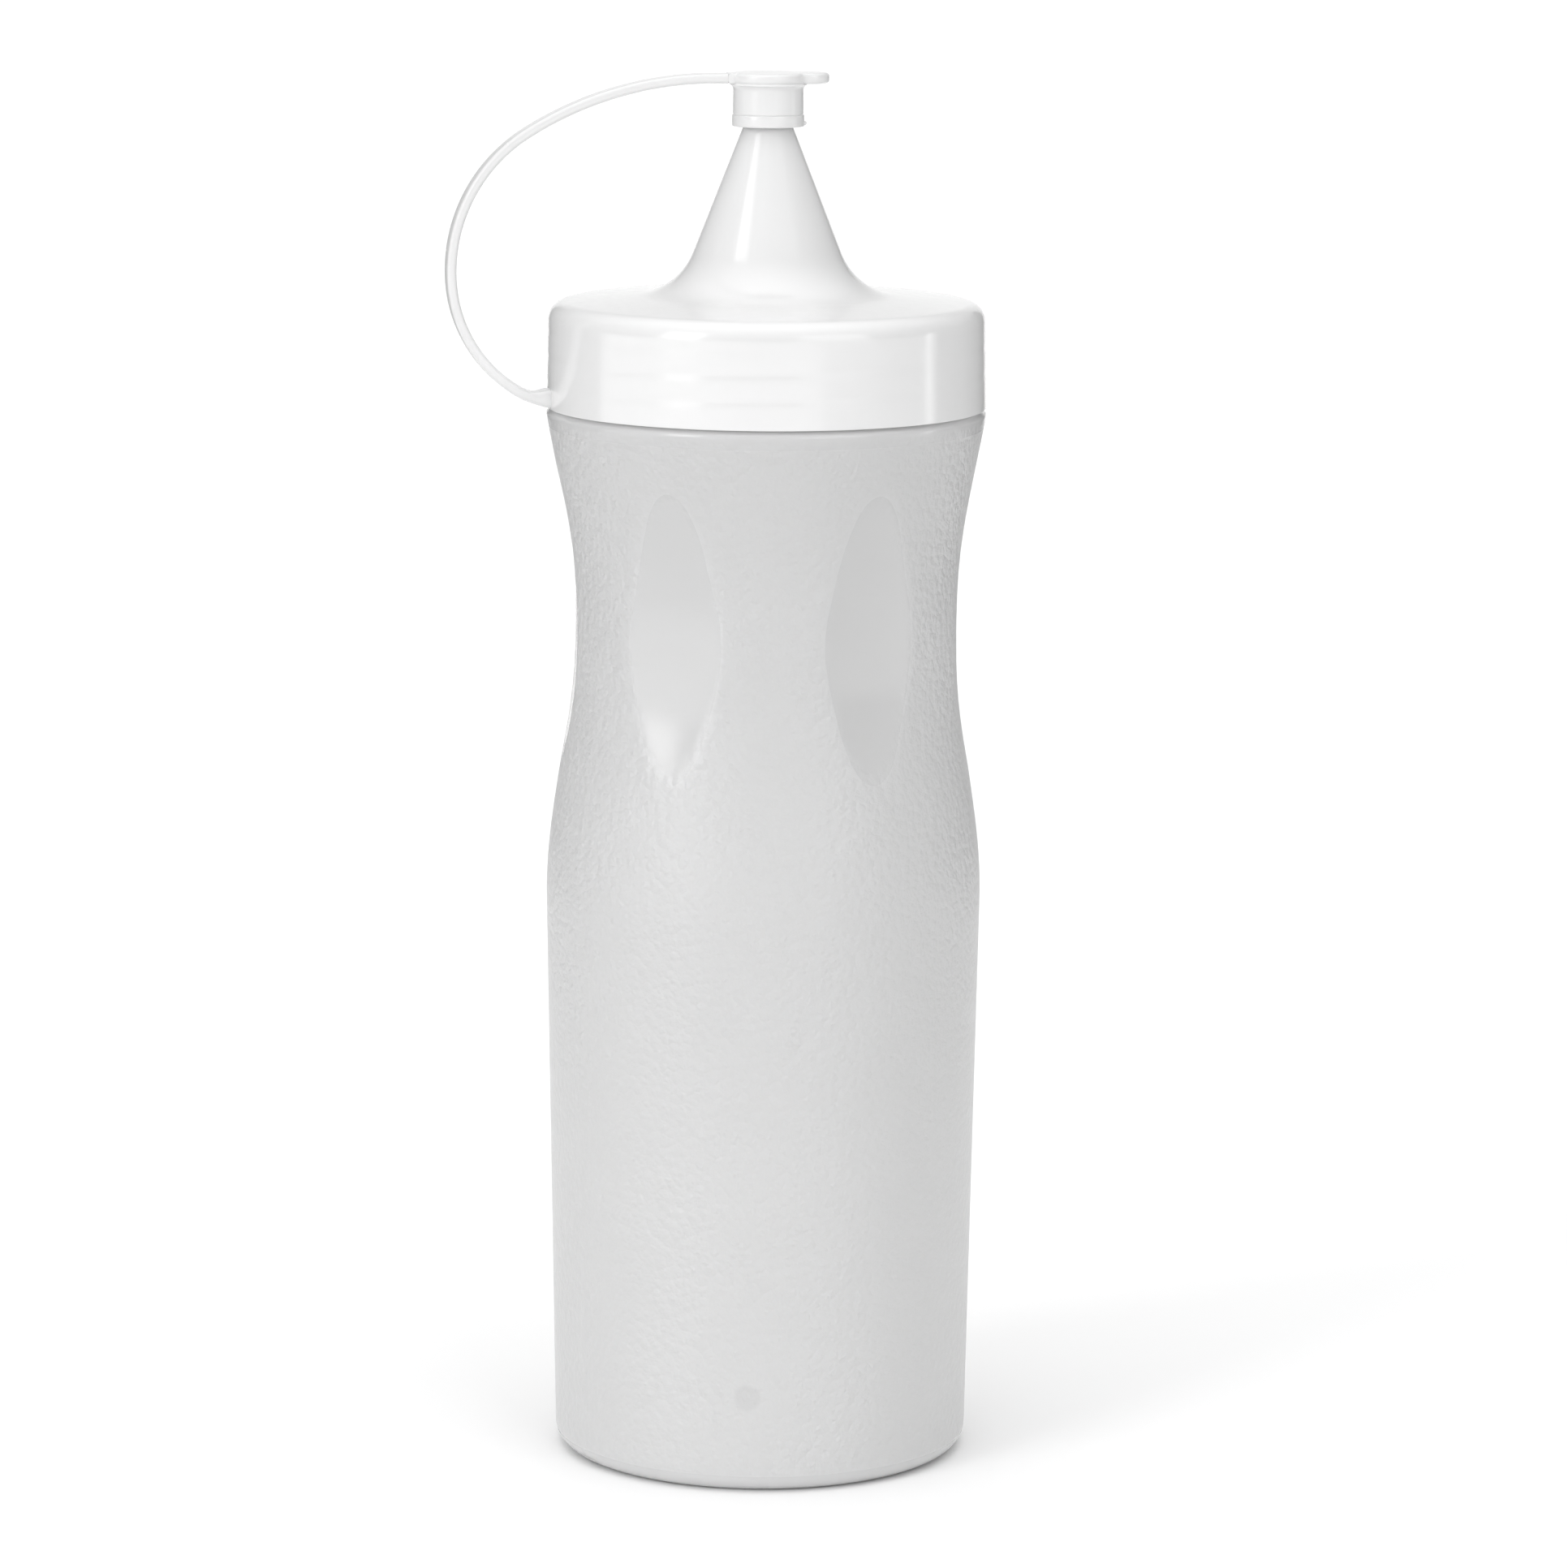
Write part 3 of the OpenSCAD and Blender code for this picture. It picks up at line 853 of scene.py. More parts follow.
@dataclass
class Bottle:
    """The blown bottle: a body with finger flutes, a collar, and a threaded neck."""

    bulge_r: float = 42.4 * MM
    bulge_z: float = 111 * MM
    waist_r: float = 38 * MM
    waist_low_z: float = 156 * MM
    waist_high_z: float = 172 * MM
    heel_r: float = 40.5 * MM
    heel_round: float = 4.5 * MM
    foot_ring_w: float = 2.6 * MM
    push_up: float = 4 * MM
    base_dome: float = 3.74
    wall: float = 1.3 * MM
    flare_turn: float = 115.0
    flute_count: int = 6
    flute_depth: float = 1.8 * MM
    flute_tool_r: float = 108 * MM
    flute_z: float = 164 * MM
    flute_turn: float = -7.5
    flute_edge: float = 0.3 * MM
    collar_z: float = 204.7 * MM
    collar_r: float = 42.5 * MM
    collar_rim_h: float = 0.5 * MM
    collar_slope: float = 1 * MM
    neck_r: float = 38.2 * MM
    neck_h: float = 17.6 * MM
    neck_wall: float = 1.6 * MM
    thread_pitch: float = 5.08 * MM
    thread_turns: float = 1.25
    thread_h: float = 1.7 * MM
    thread_root_w: float = 2.5 * MM
    thread_crest_w: float = 1 * MM
    thread_start_h: float = 5.8 * MM
    seam_turn: float = 202.5
    seam_proud: float = 0.1 * MM
    segments: int = 272
    rings: int = 206
    inner_rings: int = 30
    thread_fade: float = 28 * MM
    thread_buried: float = 0.3 * MM

    @property
    def shoulder_z(self) -> float:
        """Height of the shoulder under the lid."""
        return self.collar_z + self.collar_rim_h + self.collar_slope

    @property
    def neck_top_z(self) -> float:
        """Height of the neck's rim."""
        return self.shoulder_z + self.neck_h

    @property
    def bore_r(self) -> float:
        """Radius of the neck's bore."""
        return self.neck_r - self.neck_wall

    def radius(self, z: float) -> float:
        """Outside radius of the body.

        Args:
            z: Height, from the heel to the collar.

        Returns:
            The radius.
        """
        if z < self.bulge_z:
            return self.heel_r + (self.bulge_r - self.heel_r) * (z - self.heel_round) / (
                self.bulge_z - self.heel_round
            )
        if z < self.waist_low_z:
            share = (z - self.bulge_z) / (self.waist_low_z - self.bulge_z)
            return self.waist_r + (self.bulge_r - self.waist_r) * (1 + math.cos(math.pi * share)) / 2
        if z < self.waist_high_z:
            return self.waist_r
        share = (z - self.waist_high_z) / (self.collar_z - self.waist_high_z)
        turn = math.radians(self.flare_turn)
        return self.waist_r + (self.collar_r - self.waist_r) * (1 - math.cos(turn * share)) / (1 - math.cos(turn))

    def base(self, inset: float) -> Profile:
        """The base and heel, from the middle outwards.

        Args:
            inset: How far inside the outer face.

        Returns:
            The points.
        """
        ring_in = self.heel_r - self.heel_round - self.foot_ring_w
        ring_out = self.heel_r - self.heel_round
        dome = np.linspace(0.0, ring_in, 22).tolist()
        points = [(r, self.push_up * (1 - (r / ring_in) ** self.base_dome) + inset) for r in dome]
        points += line((ring_in + 0.2 * MM, inset), (ring_out - 0.1 * MM, inset), 3)
        return points + arc((ring_out, self.heel_round), self.heel_round - inset, -90, 0, 9)

    def shell(self) -> Shell:
        """The body, collar and neck as one wall, with no flutes.

        Returns:
            The closed shell, with the values "grain" and "inset".
        """
        outside = self.base(0.0)
        heel_end = len(outside)
        heights = np.linspace(self.heel_round, self.collar_z, self.rings)[1:].tolist()
        outside += [(self.radius(z), z) for z in heights]
        body_end = len(outside)
        rim_z = self.collar_z + self.collar_rim_h
        outside += [(self.collar_r, rim_z - 0.1 * MM), (self.collar_r - 0.08 * MM, rim_z + 0.02 * MM)]
        ledge_r = self.collar_r - self.collar_slope
        outside += line((self.collar_r - 0.2 * MM, rim_z + 0.2 * MM), (ledge_r, self.shoulder_z), 3)
        outside += line((ledge_r - 0.3 * MM, self.shoulder_z), (self.neck_r + 0.5 * MM, self.shoulder_z), 3)
        outside += arc((self.neck_r + 0.5 * MM, self.shoulder_z + 0.5 * MM), 0.5 * MM, 270, 180, 4)
        outside += line((self.neck_r, self.shoulder_z + 0.7 * MM), (self.neck_r, self.neck_top_z - 0.4 * MM), 9)
        outside += arc((self.neck_r - 0.4 * MM, self.neck_top_z - 0.4 * MM), 0.4 * MM, 0, 90, 4)
        inside_z = self.shoulder_z - self.neck_wall
        inside = arc((self.bore_r + 0.3 * MM, self.neck_top_z - 0.3 * MM), 0.3 * MM, 90, 180, 3)
        inside += line((self.bore_r, self.neck_top_z - 0.5 * MM), (self.bore_r, inside_z + 0.4 * MM), 3)
        inside += line((self.bore_r + 0.4 * MM, inside_z), (self.collar_r - self.wall - self.collar_slope, inside_z), 2)
        low = self.base(self.wall)
        inner_heights = np.linspace(self.heel_round, inside_z - self.wall, self.inner_rings)[1:].tolist()
        inside += [(self.radius(z) - self.wall, z) for z in reversed(inner_heights)]
        inside += list(reversed(low[::2]))
        if inside[-1][0] > POLE:
            inside.append((0.0, self.push_up + self.wall))
        profile = outside + inside
        grain = [1.0 if heel_end - 2 <= i < body_end - 1 else 0.0 for i in range(len(profile))]
        grain[body_end - 2] = grain[body_end - 3] = 0.5
        inset = [0.0 if i < len(outside) else self.wall for i in range(len(profile))]
        made = revolve(profile, self.segments, marks={"grain": grain, "inset": inset})
        self.raise_seam(made, heights)
        return made

    def raise_seam(self, shell: Shell, heights: list[float]) -> None:
        """Raises the line where the two halves of the mould meet.

        Args:
            shell: Body to change in place.
            heights: Heights of the body's rings.
        """
        across = np.hypot(shell.points[:, 0], shell.points[:, 1])
        turn = np.arctan2(shell.points[:, 1], shell.points[:, 0])
        outer = (shell.marks["inset"] == 0) & (shell.points[:, 2] > 2 * MM) & (shell.points[:, 2] < heights[-2])
        for half in (0.0, 180.0):
            away = (turn - math.radians(self.seam_turn + half) + math.pi) % (2 * math.pi) - math.pi
            on_seam = outer & (np.abs(away) < math.pi / self.segments / 2)
            scale = np.where(on_seam, 1 + self.seam_proud / np.maximum(across, MM), 1.0)
            shell.points[:, :2] *= scale[:, None]

    def seam_marks(self) -> Shell:
        """The pinched seam under the base and its trimmed end at the heel.

        Returns:
            Both as one shell.
        """
        ridge = soft_block((24 * MM, 1.6 * MM, 1.3 * MM), (0.0, 0.0, self.push_up + 0.15 * MM), 0.4 * MM)
        lug = soft_block((2.4 * MM, 4 * MM, 1 * MM), (38.3 * MM, 0.0, 1.7 * MM), 0.35 * MM)
        return ridge.joined([lug]).turned(math.radians(self.seam_turn))

    def thread_bar(self, height: float, path: np.ndarray, outward: float) -> Shell:
        """The straight bar that becomes a thread.

        Args:
            height: Height of the thread.
            path: Points of its helix.
            outward: 1 for a thread on the outside, -1 for one inside.

        Returns:
            The bar.
        """
        root, crest, round_over = self.thread_root_w / 2, self.thread_crest_w / 2, 0.25 * MM
        section = [
            (-root, -0.4 * MM * outward),
            (-root * 0.96, 0.0),
            (-crest - round_over / 2, (height - round_over) * outward),
            (-crest + round_over / 2, height * outward),
            (crest - round_over / 2, height * outward),
            (crest + round_over / 2, (height - round_over) * outward),
            (root * 0.96, 0.0),
            (root, -0.4 * MM * outward),
        ]
        return bar(section, np.linspace(0.0, path_length(path), 181).tolist())

    def lay_thread(
        self,
        layer: PathLayer,
        name: str,
        path: np.ndarray,
        height: float,
        outward: float,
        finish: bpy.types.Material,
        beside: bpy.types.Object,
    ) -> bpy.types.Object:
        """Lays a thread on a body and joins the two.

        Args:
            layer: Lays the thread along its helix.
            name: Name of the finished piece.
            path: Points of the helix.
            height: Height of the thread.
            outward: 1 for a thread on the outside, -1 for one inside.
            finish: Material of the piece.
            beside: The body.

        Returns:
            The finished piece.
        """
        thread = self.thread_bar(height, path, outward)
        up, buried = (0.0, 0.0, 1.0), -self.thread_buried * outward
        return layer.lay(thread, name, path, up, finish, fade=self.thread_fade, buried=buried, beside=beside)

    def build(self, layer: PathLayer, finish: bpy.types.Material) -> bpy.types.Object:
        """Builds the bottle.

        Args:
            layer: Lays the thread along its helix.
            finish: Material of the bottle.

        Returns:
            The bottle.
        """
        blank = self.shell().joined([self.seam_marks()]).to_object("bottle_blank")
        sizes: dict[str, object] = {
            "Flute count": self.flute_count,
            "First direction": math.radians(self.flute_turn),
            "Radius at the deepest point": self.waist_r - self.flute_depth,
            "Tool radius": self.flute_tool_r,
            "Middle height": self.flute_z,
            "Edge rounding": self.flute_edge,
            "Finish": finish,
        }
        body = flute_tree().run(blank, sizes)
        path = helix(self.neck_r, self.thread_pitch, self.thread_turns, self.shoulder_z + self.thread_start_h)
        piece = self.lay_thread(layer, "squeeze_bottle", path, self.thread_h, 1.0, finish, body)
        return settle(piece, "bottle", ["bottle"], 38)


@dataclass
class Lid:
    """The screw lid with its cone nozzle."""

    bottle: Bottle
    gap: float = 0.03 * MM
    side_gap: float = 0.8 * MM
    wall: float = 1.5 * MM
    draft: float = 0.3 * MM
    edge_round: float = 3.6 * MM
    rim_round: float = 0.14 * MM
    top_slope: float = 5.0
    seal_t: float = 1.2 * MM
    seal_overhang: float = 0.4 * MM
    seal_side_gap: float = 0.4 * MM
    tip_r: float = 2.2 * MM
    orifice_r: float = 1.3 * MM
    cone_angle: float = 21.3
    cone_h: float = 31 * MM
    blend_radius: float = 13 * MM
    thread_h: float = 2 * MM
    thread_gap: float = 0.35 * MM
    sink_mark: float = 0.07 * MM
    segments: int = 240

    @property
    def rim_z(self) -> float:
        """Height of the lid's rim."""
        return self.bottle.shoulder_z + self.gap

    @property
    def bore_r(self) -> float:
        """Radius inside the skirt."""
        return self.bottle.neck_r + self.bottle.thread_h + self.side_gap

    @property
    def rim_r(self) -> float:
        """Radius outside the skirt, at its rim."""
        return self.bore_r + self.wall + self.draft

    @property
    def ceiling_z(self) -> float:
        """Height of the face that presses on the seal."""
        return self.bottle.neck_top_z + self.seal_t

    @property
    def blend_foot(self) -> tuple[float, float]:
        """Where the top meets the blend into the cone."""
        turn = 90 - self.top_slope
        edge_r = self.bore_r + self.wall - self.edge_round * (1 - math.cos(math.radians(turn)))
        run = self.blend_radius * (math.cos(math.radians(self.cone_angle)) - math.sin(math.radians(self.top_slope)))
        r = self.tip_r + self.cone_h * math.tan(math.radians(self.cone_angle)) + run
        return r, self.ceiling_z + self.wall + (edge_r - r) * math.tan(math.radians(self.top_slope))

    @property
    def tip_z(self) -> float:
        """Height of the nozzle's mouth."""
        lift = math.cos(math.radians(self.top_slope)) - math.sin(math.radians(self.cone_angle))
        return self.blend_foot[1] + self.blend_radius * lift + self.cone_h

    def blend(self, inset: float, steps: int) -> Profile:
        """Points of the blend from the top into the cone, so far inside the outer face."""
        turn = math.radians(90 - self.top_slope)
        foot = self.blend_foot
        centre = (foot[0] + self.blend_radius * math.cos(turn), foot[1] + self.blend_radius * math.sin(turn))
        return arc(centre, self.blend_radius + inset, 270 - self.top_slope, 180 + self.cone_angle, steps)

    def profile(self) -> Profile:
        """The lid's section as one loop, up the outside and down the inside.

        Returns:
            The points.
        """
        top_r = self.bore_r + self.wall
        turn = 90 - self.top_slope
        edge_z = self.ceiling_z + self.wall
        side_z = edge_z - self.edge_round * math.sin(math.radians(turn))
        small = self.rim_round
        points = [(self.bore_r + small, self.rim_z)]
        points += arc((self.rim_r - small, self.rim_z + small), small, -90, 0, 4)
        points += line((self.rim_r, self.rim_z + 0.5 * MM), (top_r, side_z), 22)
        points += arc((top_r - self.edge_round, side_z), self.edge_round, 0, turn, 12)
        blend = self.blend(0.0, 20)
        points += line(points[-1], blend[0], 10)[1:-1] + blend
        points += line(blend[-1], (self.tip_r, self.tip_z - 0.3 * MM), 24)[1:]
        points += arc((self.tip_r - 0.3 * MM, self.tip_z - 0.3 * MM), 0.3 * MM, 10, 90, 4)
        points += arc((self.orifice_r + 0.15 * MM, self.tip_z - 0.15 * MM), 0.15 * MM, 90, 180, 3)
        across = self.wall / math.cos(math.radians(self.cone_angle))
        slope = math.tan(math.radians(self.cone_angle))
        orifice_z = self.tip_z - (self.orifice_r + across - self.tip_r) / slope
        points += line((self.orifice_r, self.tip_z - 0.3 * MM), (self.orifice_r, orifice_z), 2)
        inner = self.blend(self.wall, 10)
        points += line((self.orifice_r, orifice_z), inner[-1], 10)[1:] + inner[::-1][1:]
        seal_r = self.bottle.bore_r - self.seal_overhang - MM
        points += line(inner[0], (seal_r, self.ceiling_z), 3)[1:]
        points += line((seal_r, self.ceiling_z), (self.bore_r, self.ceiling_z), 3)[1:]
        points += line((self.bore_r, self.ceiling_z), (self.bore_r, self.rim_z + small), 8)[1:]
        return tidy_profile(points)

    def mark_sinks(self, shell: Shell) -> None:
        """Draws the skirt in a little where the thread inside makes it thick.

        Args:
            shell: Lid to change in place.
        """
        points = shell.points
        across = np.hypot(points[:, 0], points[:, 1])
        turn = np.arctan2(points[:, 1], points[:, 0])
        low, high = self.rim_z + 2 * MM, self.ceiling_z - 3 * MM
        inside = np.clip((points[:, 2] - low) / MM, 0, 1) * np.clip((high - points[:, 2]) / MM, 0, 1)
        outer = (across > self.bore_r + self.wall - 0.1 * MM) * inside
        wave = np.cos(2 * math.pi * (points[:, 2] - low) / self.bottle.thread_pitch - turn)
        depth = self.sink_mark * outer * np.clip(wave, 0, 1) ** 2
        points[:, :2] *= (1 - depth / np.maximum(across, MM))[:, None]

    def build(self, layer: PathLayer, finish: bpy.types.Material) -> bpy.types.Object:
        """Builds the lid.

        Args:
            layer: Lays the thread along its helix.
            finish: Material of the lid.

        Returns:
            The lid.
        """
        shell = revolve(self.profile(), self.segments, loop=True)
        self.mark_sinks(shell)
        crest_r = self.bore_r - self.thread_h
        b = self.bottle
        narrows = (b.thread_root_w - b.thread_crest_w) * (crest_r - b.neck_r) / b.thread_h
        facing_w = b.thread_root_w - narrows
        neck_thread_z = b.shoulder_z + b.thread_start_h
        start_z = neck_thread_z - (facing_w + b.thread_crest_w) / 2 - self.thread_gap
        path = helix(self.bore_r, b.thread_pitch, b.thread_turns, start_z)
        blank = shell.to_object("lid_blank")
        piece = b.lay_thread(layer, "screw_lid", path, self.thread_h, -1.0, finish, blank)
        return settle(piece, "lid", ["lid"], 34)


@dataclass
class SealRing:
    """The soft ring between the neck's rim and the lid."""

    lid: Lid
    rounding: float = 0.3 * MM
    segments: int = 144

    def build(self, finish: bpy.types.Material) -> bpy.types.Object:
        """Builds the ring.

        Args:
            finish: Material of the ring.

        Returns:
            The ring.
        """
        inner = self.lid.bottle.bore_r - self.lid.seal_overhang
        outer = self.lid.bore_r - self.lid.seal_side_gap
        middle = ((inner + outer) / 2, self.lid.bottle.neck_top_z + self.lid.seal_t / 2)
        section = rounded_rectangle(outer - inner, self.lid.seal_t, self.rounding, 4)
        shell = revolve([(middle[0] + x, middle[1] + y) for x, y in section], self.segments, loop=True)
        piece = shell.to_object("seal_liner")
        piece.data.materials.append(finish)
        return settle(piece, "seal_ring", ["seal_ring"], 50)


@dataclass
class TipCap:
    """The cap that closes the nozzle: a cup with a plug, under a disc with a thumb tab."""

    lid: Lid
    mouth_gap: float = 0.64 * MM
    wall: float = 1.35 * MM
    depth: float = 8.2 * MM
    band_h: float = 2.3 * MM
    band_proud: float = 0.15 * MM
    tip_gap: float = 1.5 * MM
    plug_reach: float = 1.2 * MM
    plug_gap: float = 0.4 * MM
    disc_rim: float = 0.5 * MM
    disc_t: float = 2 * MM
    tab_out: float = 4.5 * MM
    tab_w: float = 8 * MM
    strap_w: float = 5 * MM
    stub: float = 0.9 * MM
    stub_reach: float = -0.93
    edge_round: float = 0.7 * MM
    segments: int = 128

    @property
    def ceiling_z(self) -> float:
        """Height of the cup's ceiling, which is also the disc's lower face."""
        return self.lid.tip_z + self.tip_gap

    @property
    def cup_r(self) -> float:
        """Outside radius of the cup."""
        bore = self.lid.tip_r + (self.depth - self.tip_gap) * math.tan(math.radians(self.lid.cone_angle))
        return bore + self.mouth_gap + self.wall

    @property
    def disc_r(self) -> float:
        """Radius of the disc."""
        return self.cup_r + self.disc_rim

    def cup(self) -> Shell:
        """The cup and its plug.

        Returns:
            The closed shell.
        """
        low, high = self.ceiling_z - self.depth, self.ceiling_z
        bore, plug = self.cup_r - self.wall, self.lid.orifice_r - self.plug_gap
        plug_z = self.lid.tip_z - self.plug_reach
        points = [(0.0, plug_z), (plug * 0.35, plug_z + 0.02 * MM), (plug * 0.6, plug_z + 0.2 * MM)]
        points += line((plug * 0.66, plug_z + 0.35 * MM), (plug, high - 0.3 * MM), 4)
        points += [(plug + 0.3 * MM, high)]
        points += line((plug + 0.5 * MM, high), (bore - 0.3 * MM, high), 3)
        points += [(bore, high - 0.3 * MM)]
        points += line((bore, high - 0.6 * MM), (bore, low + 0.2 * MM), 6)
        points += [(bore + 0.15 * MM, low)]
        band = self.cup_r + self.band_proud
        points += arc((band - 0.25 * MM, low + 0.25 * MM), 0.25 * MM, -90, 0, 4)
        groove = low + self.band_h
        points += line((band, low + 0.5 * MM), (band, groove - 0.35 * MM), 3)
        points += [(band - 0.06 * MM, groove - 0.12 * MM), (self.cup_r - 0.12 * MM, groove)]
        points += [(self.cup_r - 0.02 * MM, groove + 0.15 * MM)]
        points += line((self.cup_r, groove + 0.35 * MM), (self.cup_r - 0.05 * MM, high - 1.4 * MM), 6)
        points += arc((self.cup_r + 1.2 * MM, high - 1.3 * MM), 1.25 * MM, 180, 118, 5)
        points += [(self.cup_r + 0.2 * MM, high + 0.3 * MM), (0.0, high + 0.3 * MM)]
        return revolve(tidy_profile(points), self.segments)

    def outline(self, angle: float) -> float:
        """How far the disc, tab and strap stub reach in a direction.

        Args:
            angle: Direction in radians from +X.

        Returns:
            The distance from the axis.
        """
        reach = self.disc_r
        c, s = math.cos(angle), math.sin(angle)
        half = self.tab_w / 2
        centre = self.disc_r + self.tab_out - half
        aside = centre * s
        if c > 0 and abs(aside) <= half:
            round_end = centre * c + math.sqrt(half * half - aside * aside)
            flat = half / abs(s) if abs(s) > POLE else 1.0
            reach = max(reach, min(round_end, flat) if flat * c < centre else round_end)
        if c < 0:
            side = self.strap_w / 2 / abs(s) if abs(s) > POLE else 1.0
            reach = max(reach, min(side, (self.disc_r + self.stub) / abs(c)))
        return reach

    def plate(self) -> Shell:
        """The disc with its tab and strap stub, with rounded edges.

        Returns:
            The closed shell.
        """
        count = 360
        turn = 2 * math.pi * np.arange(count) / count
        reach = np.array([self.outline(float(a)) for a in turn])
        for _ in range(2):
            smooth = (np.roll(reach, 1) + 2 * reach + np.roll(reach, -1)) / 4
            near_stub = np.cos(turn) < self.stub_reach
            reach = np.where(near_stub, reach, smooth)
        low, high, r = self.ceiling_z, self.ceiling_z + self.disc_t, self.edge_round
        levels: list[tuple[float, float]] = [(k / 8, low) for k in range(1, 8)]
        rim: list[tuple[float, float]] = []
        quarter = [math.pi / 2 * k / 4 for k in range(5)]
        rim += [(r * (1 - math.sin(a)), low + r * (1 - math.cos(a))) for a in quarter]
        rim += [(r * (1 - math.cos(a)), high - r * (1 - math.sin(a))) for a in quarter]
        spans = [((reach - r) * share, z) for share, z in levels]
        spans += [(reach - inset, z) for inset, z in rim]
        spans += [((reach - r) * share, high) for share, _ in reversed(levels)]
        rings = [np.stack([d * np.cos(turn), d * np.sin(turn), np.full(count, z)], 1) for d, z in spans]
        points = np.concatenate([np.array([[0.0, 0.0, low]]), *rings, np.array([[0.0, 0.0, high]])])
        faces: list[tuple[int, ...]] = []
        last = 1 + len(rings) * count
        for k in range(count):
            n = (k + 1) % count
            faces.append((0, 1 + n, 1 + k))
            faces.append((last, last - count + k, last - count + n))
            for i in range(len(rings) - 1):
                a, b = 1 + i * count, 1 + (i + 1) * count
                faces.append((a + k, a + n, b + n, b + k))
        return Shell(points, faces)

    def flash(self) -> Shell:
        """The small trimmed gate at the cup's mouth."""
        place = (self.cup_r + 0.1 * MM, 0.0, self.ceiling_z - self.depth + 0.6 * MM)
        return soft_block((0.9 * MM, 1.1 * MM, 0.8 * MM), place, 0.3 * MM).turned(math.radians(-14))

    def build(self, finish: bpy.types.Material) -> bpy.types.Object:
        """Builds the cap.

        Args:
            finish: Material of the cap.

        Returns:
            The cap.
        """
        piece = self.plate().joined([self.cup(), self.flash()]).to_object("nozzle_cap")
        piece.data.materials.append(finish)
        return settle(piece, "tip_cap", ["tip_cap"], 40)


@dataclass
class Strap:
    """The flexible strap from the lid's skirt over to the tip cap, in pieces that each reach over one joint."""

    lid: Lid
    cap: TipCap
    width: float = 5 * MM
    thickness: float = 2 * MM
    corner: float = 0.7 * MM
    lift: float = 1.1 * MM
    arcs: tuple[tuple[float, float], ...] = ((9, 30), (26.5, 55), (31, 63), (68, 32))
    links: int = 8
    root_cover: float = 2.4 * MM
    tail_cover: float = 2 * MM
    least_lead: float = 1.2 * MM
    least_tail: float = 3 * MM
    root_swell: float = 0.7
    root_swell_length: float = 2.2 * MM
    thinner: float = 0.09
    thin_from: float = 18 * MM
    step: float = 0.55 * MM

    def path(self) -> np.ndarray:
        """The strap's centre line, from inside the skirt to the disc's edge.

        Returns:
            Its points, close together.
        """
        start = np.array([-(self.lid.rim_r - self.lid.wall / 2), self.lid.rim_z + self.lift + self.thickness / 2])
        heading, shape = math.pi, np.zeros(2)
        for radius, degrees in self.arcs:
            after = heading - math.radians(degrees)
            shape += radius * np.array([math.sin(heading) - math.sin(after), math.cos(after) - math.cos(heading)])
            heading = after
        scale = (self.cap.ceiling_z + self.thickness / 2 - start[1]) / shape[1]
        spare = -self.cap.disc_r - start[0] - scale * shape[0]
        lead = max(self.lid.wall / 2 + self.least_lead, self.least_tail - spare)
        runs = [(lead, 0.0)] + [(scale * r * math.radians(d), math.radians(d)) for r, d in self.arcs]
        runs.append((spare + lead, 0.0))
        points, place, heading = [start], start, math.pi
        for length, turn in runs:
            steps = max(2, round(length / (0.2 * MM)))
            for _ in range(steps):
                middle = heading - turn / steps / 2
                chord = length / steps
                if turn:
                    half = turn / steps / 2
                    chord *= math.sin(half) / half
                place = place + chord * np.array([math.cos(middle), math.sin(middle)])
                heading -= turn / steps
                points.append(place)
        flat = np.array(points)
        return np.stack([flat[:, 0], np.zeros(len(flat)), flat[:, 1]], 1)

    def piece_bar(self, start: float, end: float) -> Shell:
        """The straight bar for one piece of the strap.

        Args:
            start: Length along the path where it starts.
            end: Length along the path where it ends.

        Returns:
            The bar, thicker towards the strap's root and a little thinner past it.
        """
        section = rounded_rectangle(self.width, self.thickness, self.corner, 5)
        stations = np.linspace(start, end, max(4, round((end - start) / self.step)) + 1)
        made = bar(section, stations.tolist())
        run = made.points[:, 0]
        beyond = np.maximum(run - self.lid.wall / 2, 0.0) / self.root_swell_length
        swell = 1 + self.root_swell * np.exp(-beyond * beyond)
        far = 1 - np.exp(-((run / self.thin_from) ** 4))
        made.points[:, 2] *= swell * (1 - self.thinner * far)
        made.points[:, 1] *= 1 + (swell - 1) * 0.4
        return made

    def build(self, layer: PathLayer, finish: bpy.types.Material) -> list[bpy.types.Object]:
        """Builds the strap's pieces, each over one hinge and ending in the middle of a link.

        Args:
            layer: Lays the pieces along the path.
            finish: Material of the strap.

        Returns:
            The pieces, from the lid to the cap.
        """
        path = self.path()
        total = path_length(path)
        first = self.lid.wall / 2 + self.root_cover
        link = (total - self.tail_cover - first) / self.links
        hinges = [first + i * link for i in range(self.links + 1)]
        bodies = ["lid"] + [f"strap_link_{i:02d}" for i in range(1, self.links + 1)] + ["tip_cap"]
        cuts = [0.0] + [h + link / 2 for h in hinges[:-1]] + [total - self.cap.stub]
        made = []
        for i, hinge in enumerate(hinges):
            piece = layer.lay(
                self.piece_bar(cuts[i], cuts[i + 1]), f"strap_bend_{i:02d}", path, (0.0, 1.0, 0.0), finish
            )
            soften(piece.data, 60)
            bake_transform(piece)
            if 0 < i:
                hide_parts(bodies[i])
            LOG.info("%s: bends between %s and %s", piece.name, bodies[i], bodies[i + 1])
            made.append(piece)
        return made


# --- Studio ---------------------------------------------------------------------------------------


@dataclass(frozen=True)
class Softbox:
    """A bright rectangle in the room, placed by its direction from the bottle."""

    turn: float
    half_width: float
    low: float
    high: float
    light: float


